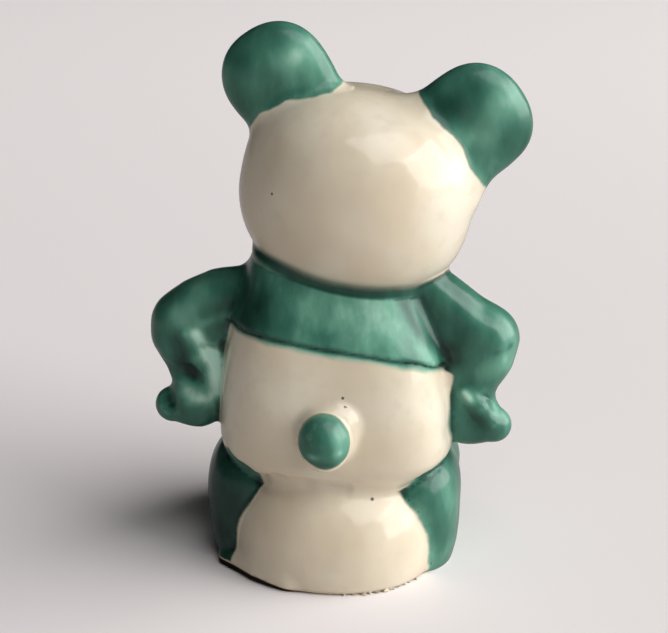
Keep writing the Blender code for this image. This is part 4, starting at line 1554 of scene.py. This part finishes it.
# %% How thick the coat is
# How much each thing makes the green paler (above nought) or darker
# The crease, hollow and band-line terms darken for glaze that pools there and also as painted shade; the load holds
# painted light and shade too.
TONE = {
    "band": 0.06, "cloud": 0.65, "load": 1.0, "crease": -0.36, "hollow": -0.30, "ridge": 0.22,
    "lip": 0.20, "pooled_and_shaded": -0.26, "thin": 0.12,
}
MIDDLE_TONE = 0.50
STREAKS = 0.42
STREAKS_ON_BAND = 0.20
# Tone in the neck's groove: dark for glaze that pools there and as painted shade under the head.
NECK_TONE = 0.24
NECK_STREAKS = 0.4
DEEPER = 0.8
STREAK_TURN = (0.0, 0.25, 0.0)
STREAK_STRETCH = (1.0, 1.0, 0.4)
STREAKS_PER_MM = 0.4
CLOUDS_PER_MM = 0.13
# Where each thing starts and where it is full. Rises of the evened net, mm:
HOLLOW_RISE = (0.06, 0.5)
CREASE_RISE = (0.0, 0.10)
RIDGE_RISE = (-0.02, -0.11)
# heights above the band's lower line, or how far off it, mm:
BAND_TOP = (8.6, 8.2)
BAND_FOOT = (-0.6, 0.4)
NEAR_LINE = (1.2, 0.6)
CREASE_LESS_BY_LINE = 0.6
# The dark line under the band: glaze that pools on the step, and painted shade under it.
DARK_LINE_HEIGHT = 0.05
DARK_LINE_WIDTH = (0.75, 0.1)
# and the paint's edge and the neck's mark, mm:
THIN_RIM = (-1.3, 0.0)
NECK_UPPER = (1.35, 0.8)
NECK_LOWER = (-2.8, -2.2)


def brush_streaks(tree, place):
    """Noise drawn out upwards, a little aslant."""
    drawn_out = node(
        tree, "ShaderNodeMapping",
        {"Vector": place, "Rotation": STREAK_TURN, "Scale": STREAK_STRETCH},
    )
    return noise(tree, drawn_out.outputs[0], STREAKS_PER_MM, 3.0)


def places_of_tone(tree, place, line, edge, lip):
    """For each name in TONE, the share of it that a place has."""
    fine_rise = mark(tree, "fine_lift")
    hollow_way = step_between(tree, mark(tree, "wide_lift"), *HOLLOW_RISE)
    crease = step_between(tree, fine_rise, *CREASE_RISE)
    by_line = step_between(tree, calc(tree, "ABSOLUTE", line), *NEAR_LINE)
    less = calc(tree, "MULTIPLY_ADD", by_line, -CREASE_LESS_BY_LINE, 1.0)
    from_dark_line = calc(tree, "ABSOLUTE", calc(tree, "SUBTRACT", line, DARK_LINE_HEIGHT))
    band_top = step_between(tree, line, *BAND_TOP)
    band_foot = step_between(tree, line, *BAND_FOOT)
    by_edge = step_between(tree, edge, *THIN_RIM)
    return {
        "band": calc(tree, "MULTIPLY", band_top, band_foot),
        "cloud": noise(tree, place, CLOUDS_PER_MM, 1.0),
        "load": mark(tree, "load"),
        "crease": calc(tree, "MULTIPLY", crease, less),
        "hollow": hollow_way,
        "ridge": step_between(tree, fine_rise, *RIDGE_RISE),
        "lip": lip,
        "pooled_and_shaded": step_between(tree, from_dark_line, *DARK_LINE_WIDTH),
        "thin": calc(tree, "MULTIPLY", by_edge, calc(tree, "SUBTRACT", 1.0, hollow_way)),
    }


def green_tone(tree, shares, brush, neck_line):
    """From 0, where the green is nearly black, to 1, where it is milky."""
    streaks = calc(tree, "MULTIPLY_ADD", shares["band"], STREAKS_ON_BAND, STREAKS)
    tone = calc(tree, "MULTIPLY_ADD", brush, streaks, MIDDLE_TONE)
    for name, weight in TONE.items():
        tone = calc(tree, "MULTIPLY_ADD", shares[name], weight, tone)
    neck = step_between(tree, neck_line, *NECK_UPPER)
    neck = calc(tree, "MULTIPLY", neck, step_between(tree, neck_line, *NECK_LOWER))
    at_neck = calc(tree, "MULTIPLY_ADD", brush, NECK_STREAKS, NECK_TONE)
    tone = calc(tree, "MULTIPLY_ADD", neck, calc(tree, "SUBTRACT", at_neck, tone), tone)
    return calc(tree, "MULTIPLY", tone, DEEPER, clamp=True)


print("things that change the tone:", ", ".join(TONE))

# %% [markdown]
# ### Cream, stains and painted shade in creases, and specks
#
# A slow noise takes the cream from warm to pale and a finer one greys it. Creases are painted
# brown, greener beside the paint: partly a stain of glaze that pools there and partly painted shade.
# At the neck some green bled into the cream. Iron in the clay made a few dark specks, which are small
# balls of dark colour at fixed places.

# %% Cream, stains and painted shade in creases, and specks
# Kiln specks: place in the modeller's frame, radius
SPECKS = (
    ((6.4, 10.5, 52.5), 0.24),
    ((-2.7, 13.0, 26.9), 0.25),
    ((-6.3, 11.0, 12.2), 0.30),
    ((10.4, 10.3, 1.2), 0.40),
    ((4.0, -10.9, 26.0), 0.22),
    ((-12.0, -8.5, 47.0), 0.22),
)
SPECK_RIM = 0.12
SPECK_STRENGTH = 0.85
DARK_FADE = (0.05, -0.08)
# Each colour of the cream: the noise where it starts and where it is full
WARM_FROM_TO = (-0.1, 0.2)
PALE_FROM_TO = (0.0, -0.3)
# and of these, also the shares there
GREY_FROM_TO = (0.0, 0.25, 0.0, 0.5)
STAIN_AND_SHADE_FROM_TO = (0.03, 0.15, 0.0, 0.5)  # rise of the evened net, mm
BLEED_FROM_TO = (-1.5, -0.2, 0.0, 0.55)  # the neck's mark, mm
BLEED_UPPER = (3.0, 1.0)
STAIN_AND_SHADE_NEAR_GREEN = (2.2, 0.8)  # off the paint's edge, mm


def cream_colour(tree, place, edge, neck_line, green_colour):
    slow = noise(tree, place, 0.10, 1.0)
    cream = mix(tree, step_between(tree, slow, *WARM_FROM_TO), CREAM, CREAM_WARM)
    cream = mix(tree, step_between(tree, slow, *PALE_FROM_TO), cream, CREAM_PALE)
    finer = noise(tree, place, 0.45, 2.0)
    cream = mix(tree, step_between(tree, finer, *GREY_FROM_TO), cream, CREAM_GREY)
    # Creases are painted brown: a stain of glaze that pools there, and painted shade.
    stain_and_shade = mix(tree, step_between(tree, edge, *STAIN_AND_SHADE_NEAR_GREEN), CREASE_STAIN_AND_SHADE, CREASE_STAIN_AND_SHADE_BY_GREEN)
    stain_and_shade_share = step_between(tree, mark(tree, "fine_lift"), *STAIN_AND_SHADE_FROM_TO)
    cream = mix(tree, stain_and_shade_share, cream, stain_and_shade)
    bleed = step_between(tree, neck_line, *BLEED_FROM_TO)
    bleed = calc(tree, "MULTIPLY", bleed, step_between(tree, neck_line, *BLEED_UPPER))
    return mix(tree, bleed, cream, green_colour)


def dark_share(tree, place):
    """Where it is dark: eyes, nose, mouth and the specks."""
    dark = step_between(tree, mark(tree, "dark_edge"), *DARK_FADE)
    for spot, radius in SPECKS:
        spot = tuple(np.array(spot) + SHIFT)
        away = node(tree, "ShaderNodeVectorMath", {0: place, 1: spot}, operation="DISTANCE")
        speck = step_between(tree, away.outputs["Value"], radius, radius - SPECK_RIM)
        dark = calc(tree, "MAXIMUM", dark, calc(tree, "MULTIPLY", speck, SPECK_STRENGTH))
    return dark


print("kiln specks:", len(SPECKS))

# %% [markdown]
# ### Bare clay and shine
#
# The foot and the inside have no glaze. Behind on the left, where the glaze ends higher up, the
# foot is painted black as the shadow in a gap under it, but not the face that it stands on.
# Everything else has a clear coat that ripples a little, and the brush strokes show in the ripples
# of the green.

# %% Bare clay and shine
BARE_FADE = (0.06, -0.06)
RAGGED = 0.5
# Painted shadow on the foot: black below the glaze's end, down to just above the table.
PAINTED_SHADOW_DEPTHS = (-0.10, -0.30)  # below the glaze's end, mm
PAINTED_SHADOW_HEIGHTS = (0.05, 0.15)  # above the table, mm
# These keep the painted shadow of the foot off the inside.
INSIDE_DEPTHS = (-2.0, -2.6)  # between the dry foot's marks and that of the inside
ROUGHNESS = 0.40
ROUGHNESS_WANDER = 0.12
BARE_ROUGHER = 0.5
BODY_IOR = 1.5
BODY_SPECULAR = 0.12
COAT_ROUGHNESS = 0.13
GREEN_COAT_ROUGHER = 0.08
COAT_IOR = 1.43
GREEN_COAT_IOR_LESS = 0.09
RIPPLE_HEIGHT = 0.09
STROKE_HEIGHT = 0.07
GREEN_HEIGHT = 0.05


def bare_clay(tree, place):
    """Where there is no glaze, and the colour there: clay, with a painted shadow on the foot behind on the left."""
    depth = mark(tree, "bare_edge")
    ragged = calc(tree, "MULTIPLY_ADD", noise(tree, place, 1.3), RAGGED, depth)
    bare = step_between(tree, ragged, *BARE_FADE)
    inside = step_between(tree, depth, *INSIDE_DEPTHS)
    painted_shadow = step_between(tree, depth, *PAINTED_SHADOW_DEPTHS)
    painted_shadow = calc(tree, "MULTIPLY", painted_shadow, calc(tree, "SUBTRACT", 1.0, inside))
    height = node(tree, "ShaderNodeSeparateXYZ", {0: place}).outputs[2]
    painted_shadow = calc(tree, "MULTIPLY", painted_shadow, step_between(tree, height, *PAINTED_SHADOW_HEIGHTS))
    return bare, mix(tree, painted_shadow, CLAY, PAINTED_FOOT_SHADOW)


def shine(tree, shader, place, green, brush, bare):
    """The clear coat, its ripples, and the duller body under it."""
    rough = calc(tree, "MULTIPLY_ADD", noise(tree, place, 0.7), ROUGHNESS_WANDER, ROUGHNESS)
    rough = calc(tree, "MULTIPLY_ADD", bare, BARE_ROUGHER, rough, clamp=True)
    tree.links.new(rough, shader.inputs["Roughness"])
    shader.inputs["IOR"].default_value = BODY_IOR
    shader.inputs["Specular IOR Level"].default_value = BODY_SPECULAR
    coat_rough = calc(tree, "MULTIPLY_ADD", green, GREEN_COAT_ROUGHER, COAT_ROUGHNESS)
    tree.links.new(coat_rough, shader.inputs["Coat Roughness"])
    coat_ior = calc(tree, "MULTIPLY_ADD", green, -GREEN_COAT_IOR_LESS, COAT_IOR)
    tree.links.new(coat_ior, shader.inputs["Coat IOR"])
    tree.links.new(calc(tree, "SUBTRACT", 1.0, bare), shader.inputs["Coat Weight"])
    ripple = calc(tree, "MULTIPLY", noise(tree, place, 0.35, 1.0), RIPPLE_HEIGHT)
    strokes = calc(tree, "MULTIPLY", brush, green)
    ripple = calc(tree, "MULTIPLY_ADD", strokes, STROKE_HEIGHT, ripple)
    ripple = calc(tree, "MULTIPLY_ADD", green, GREEN_HEIGHT, ripple)
    bump = node(tree, "ShaderNodeBump", {"Height": ripple, "Distance": MM, "Strength": 1.0})
    tree.links.new(bump.outputs[0], shader.inputs["Normal"])
    tree.links.new(bump.outputs[0], shader.inputs["Coat Normal"])


print("index of refraction of the coat:", COAT_IOR)

# %% [markdown]
# The parts come together in one material: green over cream, dark marks over both, and bare clay
# where the glaze ends.

# %% The glaze
def glazed_ware():
    material, tree, shader = new_material("glazed_ware")
    place = place_in_mm(tree)
    line = mark(tree, "band_line")
    neck_line = mark(tree, "neck_line")
    brush = brush_streaks(tree, place)
    edge, green, lip = paint_edge(tree, place, line, neck_line)
    shares = places_of_tone(tree, place, line, edge, lip)
    green_colour = ramp(tree, green_tone(tree, shares, brush, neck_line), GREEN_STOPS)
    cream = cream_colour(tree, place, edge, neck_line, green_colour)
    colour = mix(tree, green, cream, green_colour)
    colour = mix(tree, dark_share(tree, place), colour, DARK)
    bare, clay = bare_clay(tree, place)
    tree.links.new(mix(tree, bare, colour, clay), shader.inputs["Base Color"])
    shine(tree, shader, place, green, brush, bare)
    return material


glaze = glazed_ware()
for piece in pieces.values():
    piece.data.materials.append(glaze)
print("glaze nodes:", len(glaze.node_tree.nodes))

# %% [markdown]
# ## Grit on the foot
#
# The foot stood on sand in the kiln, and crumbs of it stayed in the glaze along the back of the
# rim. They repeat along a line, so Geometry Nodes lay them: the line is cut into even steps, each
# step is nudged at random, and a crumb of random size and turn is put there. The tree's sizes are
# inputs with names, and the finished crumbs become a plain mesh.

# %% The rim as a line
RIM_ANGLES = (math.radians(100), math.radians(142))


def rim_line(angles, height=0.12, steps=60):
    """Points on the mound's skin just above the table."""
    share = height / MOUND_HEIGHT
    wide = MOUND_HALF[0] * np.interp(share, *mound_width)
    deep = MOUND_HALF[1] * np.interp(share, *mound_depth)
    turn = np.linspace(*angles, steps)
    way = np.stack([np.cos(turn), np.sin(turn)], 1)
    reach = 1 / gauge(way[:, 0], way[:, 1], wide, deep, MOUND_SQUARENESS)
    flat = np.array(MOUND_MIDDLE) + way * reach[:, None]
    return np.column_stack([flat, np.full(steps, height)])


rim = (rim_line(RIM_ANGLES) + SHIFT) * MM
print("rim line, mm:", round(float(np.linalg.norm(np.diff(rim, axis=0), axis=1).sum() / MM), 1))


# %% A tree that lays crumbs along a line
# Random vectors lie between the two of each pair
NUDGE_WAYS = ((-1.0, -1.0, -0.3), (1.0, 1.0, 0.6))
CRUMB_SHAPES = ((0.7, 0.7, 0.5), (1.6, 1.2, 0.9))
CRUMB_TURNS = ((0.0, 0.0, 0.0), (0.5, 0.5, 6.28))
DENT_SCALE = 1.6
DENT_HEIGHT = 0.9


def crumb_tree():
    """The tree, and the identifier of each of its inputs."""
    tree = bpy.data.node_groups.new("crumbs_along_line", "GeometryNodeTree")
    sockets = {}
    for name, kind, value in (
        ("Line", "NodeSocketGeometry", None),
        ("Step", "NodeSocketFloat", 1.0 * MM),
        ("Smallest", "NodeSocketFloat", 0.15 * MM),
        ("Largest", "NodeSocketFloat", 0.40 * MM),
        ("Nudge", "NodeSocketFloat", 0.15 * MM),
        ("Seed", "NodeSocketInt", 0),
        ("Material", "NodeSocketMaterial", None),
    ):
        socket = tree.interface.new_socket(name, in_out="INPUT", socket_type=kind)
        if value is not None:
            socket.default_value = value
        sockets[name] = socket.identifier
    tree.interface.new_socket("Crumbs", in_out="OUTPUT", socket_type="NodeSocketGeometry")
    floats = {"kind": "FLOAT", "low_socket": 2, "output": 1}
    vectors = {"kind": "FLOAT_VECTOR", "low_socket": 0, "output": 0}
    given = node(tree, "NodeGroupInput").outputs
    curve = node(tree, "GeometryNodeMeshToCurve", {"Mesh": given["Line"]}).outputs["Curve"]
    steps = node(
        tree, "GeometryNodeResampleCurve", {"Curve": curve, "Length": given["Step"]}, mode="LENGTH"
    ).outputs["Curve"]

    def at_random(sort, low, high, extra):
        """A random number or vector for each crumb, different for each `extra`."""
        seed = calc(tree, "ADD", given["Seed"], float(extra))
        ends = {sort["low_socket"]: low, sort["low_socket"] + 1: high, "Seed": seed}
        made = node(tree, "FunctionNodeRandomValue", ends, data_type=sort["kind"])
        return made.outputs[sort["output"]]

    way = at_random(vectors, *NUDGE_WAYS, 1)
    nudge = node(
        tree, "ShaderNodeVectorMath", {0: way, "Scale": given["Nudge"]}, operation="SCALE"
    ).outputs[0]
    spots = node(tree, "GeometryNodeSetPosition", {"Geometry": steps, "Offset": nudge})
    ball = node(tree, "GeometryNodeMeshIcoSphere", {"Radius": 1.0, "Subdivisions": 3})
    dents = node(tree, "ShaderNodeTexNoise", {"Scale": DENT_SCALE, "Detail": 1.0})
    dents = calc(tree, "MULTIPLY_ADD", dents.outputs["Fac"], DENT_HEIGHT, -DENT_HEIGHT / 2)
    normal = node(tree, "GeometryNodeInputNormal").outputs[0]
    dent = node(tree, "ShaderNodeVectorMath", {0: normal, "Scale": dents}, operation="SCALE")
    crumb = node(
        tree, "GeometryNodeSetPosition", {"Geometry": ball.outputs[0], "Offset": dent.outputs[0]}
    )
    flat = at_random(vectors, *CRUMB_SHAPES, 2)
    size = at_random(floats, given["Smallest"], given["Largest"], 3)
    size = node(tree, "ShaderNodeVectorMath", {0: flat, "Scale": size}, operation="SCALE")
    turn = at_random(vectors, *CRUMB_TURNS, 4)
    laid = node(
        tree, "GeometryNodeInstanceOnPoints",
        {"Points": spots.outputs[0], "Instance": crumb.outputs[0], "Rotation": turn,
         "Scale": size.outputs[0]},
    )
    real = node(tree, "GeometryNodeRealizeInstances", {"Geometry": laid.outputs[0]})
    smooth = node(tree, "GeometryNodeSetShadeSmooth", {0: real.outputs[0]})
    done = node(
        tree, "GeometryNodeSetMaterial",
        {"Geometry": smooth.outputs[0], "Material": given["Material"]},
    )
    tree.links.new(done.outputs[0], node(tree, "NodeGroupOutput").inputs[0])
    return tree, sockets


print("crumbs are dented by up to this share of their radius:", DENT_HEIGHT / 2)


# %% Running the tree
def line_object(name, points):
    mesh = bpy.data.meshes.new(name)
    mesh.from_pydata([tuple(p) for p in points], [(k, k + 1) for k in range(len(points) - 1)], [])
    made = bpy.data.objects.new(name, mesh)
    bpy.context.scene.collection.objects.link(made)
    return made


def crumbs(name, points, material, **given):
    """Runs the tree on a line and keeps what it lays as a plain mesh."""
    tree, sockets = crumb_tree()
    maker = line_object(name + "_line", points)
    modifier = maker.modifiers.new("crumbs", "NODES")
    modifier.node_group = tree
    modifier[sockets["Material"]] = material
    for key, value in given.items():
        modifier[sockets[key]] = value
    bpy.context.view_layer.update()
    ready = maker.evaluated_get(bpy.context.evaluated_depsgraph_get())
    mesh = bpy.data.meshes.new_from_object(ready)
    mesh.name = name
    maker.modifiers.clear()
    bpy.data.objects.remove(maker)
    made = bpy.data.objects.new(name, mesh)
    bpy.context.scene.collection.objects.link(made)
    return made


SAND_BROWN = (0.36, 0.29, 0.20, 1.0)


def kiln_sand():
    material, tree, shader = new_material("kiln_sand")
    grain = noise(tree, place_in_mm(tree), 1.2, 1.0)
    colour = mix(tree, step_between(tree, grain, -0.15, 0.2), CREAM, SAND_BROWN)
    tree.links.new(colour, shader.inputs["Base Color"])
    rough = calc(tree, "MULTIPLY_ADD", grain, 0.4, 0.6)
    tree.links.new(rough, shader.inputs["Roughness"])
    return material


grit = crumbs("foot_grit", rim, kiln_sand(), Seed=5)
print("foot grit triangles:", sum(len(f.vertices) - 2 for f in grit.data.polygons))

# %% [markdown]
# ## Table, window light and camera
#
# The figure stands on plain pale paper. A big soft window on its right side, which is on the right
# as seen from behind too, gives the long highlights; the rest of the room is dim, so the other side
# goes dark. The paper looks a little darker to the camera near the figure than beyond it, and it is
# dimmer in the glaze's reflections than it really is, as in the photo.

# %% Floor
FLOOR_HALF = 3.0
PAPER = (0.80, 0.765, 0.765, 1.0)
PAPER_IN_GLAZE = (0.42, 0.40, 0.40, 1.0)
PAPER_BEYOND = (0.96, 0.913, 0.913, 1.0)
PAPER_NEAR = (0.84, 0.80, 0.80, 1.0)
PAPER_CHANGES = (-0.35, 0.02)  # from here to here along Y, m


def floor_paper():
    material, tree, shader = new_material("pale_paper")
    path = node(tree, "ShaderNodeLightPath").outputs
    colour = mix(tree, path["Is Glossy Ray"], PAPER, PAPER_IN_GLAZE)
    place = node(tree, "ShaderNodeTexCoord").outputs["Object"]
    back = node(tree, "ShaderNodeSeparateXYZ", {0: place}).outputs[1]
    paper = mix(tree, step_between(tree, back, *PAPER_CHANGES), PAPER_BEYOND, PAPER_NEAR)
    colour = mix(tree, path["Is Camera Ray"], colour, paper)
    tree.links.new(colour, shader.inputs["Base Color"])
    shader.inputs["Roughness"].default_value = 0.9
    shader.inputs["Specular IOR Level"].default_value = 0.2
    return material


mesh = bpy.data.meshes.new("floor")
corners = [(x * FLOOR_HALF, y * FLOOR_HALF, 0) for x, y in ((-1, -1), (1, -1), (1, 1), (-1, 1))]
mesh.from_pydata(corners, [], [(0, 1, 2, 3)])
floor = bpy.data.objects.new("floor", mesh)
bpy.context.scene.collection.objects.link(floor)
mesh.materials.append(floor_paper())
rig.stage(floor)
print("floor side, m:", 2 * FLOOR_HALF)

# %% Camera
AIM_HEIGHT = 33.0
AIM = (np.array([0.0, 0.0, AIM_HEIGHT]) + SHIFT) * MM
CAMERA_DISTANCE = 0.250
CAMERA_RISE = math.radians(20.0)
CAMERA_SIDE = math.radians(7.0)
FOCAL_PIXELS = 1911.0
IMAGE_WIDTH = 668


def look_at(obj, place, aim):
    """Puts an object somewhere and points its -Z at a place."""
    obj.location = place
    way = Vector(aim) - Vector(place)
    obj.rotation_euler = way.to_track_quat("-Z", "Y").to_euler()


def around(side, rise, distance):
    """A place round the figure: side 0 is straight behind it, and turns towards its right."""
    return AIM + distance * np.array(
        [-math.sin(side) * math.cos(rise), math.cos(side) * math.cos(rise), math.sin(rise)]
    )


lens = bpy.data.cameras.new("camera")
lens.sensor_width = 36.0
lens.sensor_fit = "HORIZONTAL"
lens.lens = FOCAL_PIXELS * lens.sensor_width / IMAGE_WIDTH
lens.clip_start = 0.01
camera = bpy.data.objects.new("camera", lens)
bpy.context.scene.collection.objects.link(camera)
look_at(camera, around(CAMERA_SIDE, CAMERA_RISE, CAMERA_DISTANCE), AIM)
bpy.context.scene.camera = camera
print("lens, mm:", round(lens.lens, 1))


# %% Lights
# Name, degrees to the side, degrees up, distance in m, width and height in m, watts, colour
LAMPS = (
    ("window", 88.0, 23.0, 3.0, (4.0, 2.4), 146.0, (1.0, 0.985, 0.96)),
    ("sky", 50.0, 57.0, 3.0, (2.6, 2.2), 46.0, (0.99, 0.99, 1.0)),
    ("room_behind", 12.0, 60.0, 3.0, (3.0, 1.4), 4.0, (1.0, 0.97, 0.94)),
)
DIM_ROOM = (0.95, 0.95, 1.0, 1.0)
DIM_ROOM_STRENGTH = 0.01


def soft_light(name, side, rise, distance, size, power, colour):
    light = bpy.data.lights.new(name, "AREA")
    light.shape = "RECTANGLE"
    light.size, light.size_y = size
    light.energy = power
    light.color = colour
    lamp = bpy.data.objects.new(name, light)
    bpy.context.scene.collection.objects.link(lamp)
    look_at(lamp, around(math.radians(side), math.radians(rise), distance), AIM)
    return lamp


lamps = {lamp[0]: soft_light(*lamp) for lamp in LAMPS}
lamps["room_behind"].visible_glossy = False
world = bpy.data.worlds.new("dim_room")
world.use_nodes = True
background = world.node_tree.nodes["Background"]
background.inputs["Color"].default_value = DIM_ROOM
background.inputs["Strength"].default_value = DIM_ROOM_STRENGTH
bpy.context.scene.world = world
bpy.context.scene.view_settings.view_transform = "Standard"
print("lamps:", ", ".join(lamps))

# %% [markdown]
# ## Handing over
#
# Every casting rides on the one rigid body and stands for its node. The crumbs ride along.

# %% Ride, replace, slots
SLOTS = {name: "green_glaze" for name in NAMES}
for name in ("seat_mound", "torso", "head", "tail_slip_bead"):
    SLOTS[name] = "cream_glaze"
for name, piece in pieces.items():
    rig.ride(piece, "root")
    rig.replaces(piece, name)
    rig.slot(piece, SLOTS[name])

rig.ride(grit, "root")
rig.slot(grit, "cream_glaze")
print("castings handed over:", len(pieces))

# %% Sizes
with open("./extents.json", "w") as out:
    json.dump({"cad": [list(c) for c in cad_box], "visual": [list(c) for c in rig.bounds()]}, out)
print(open("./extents.json").read())
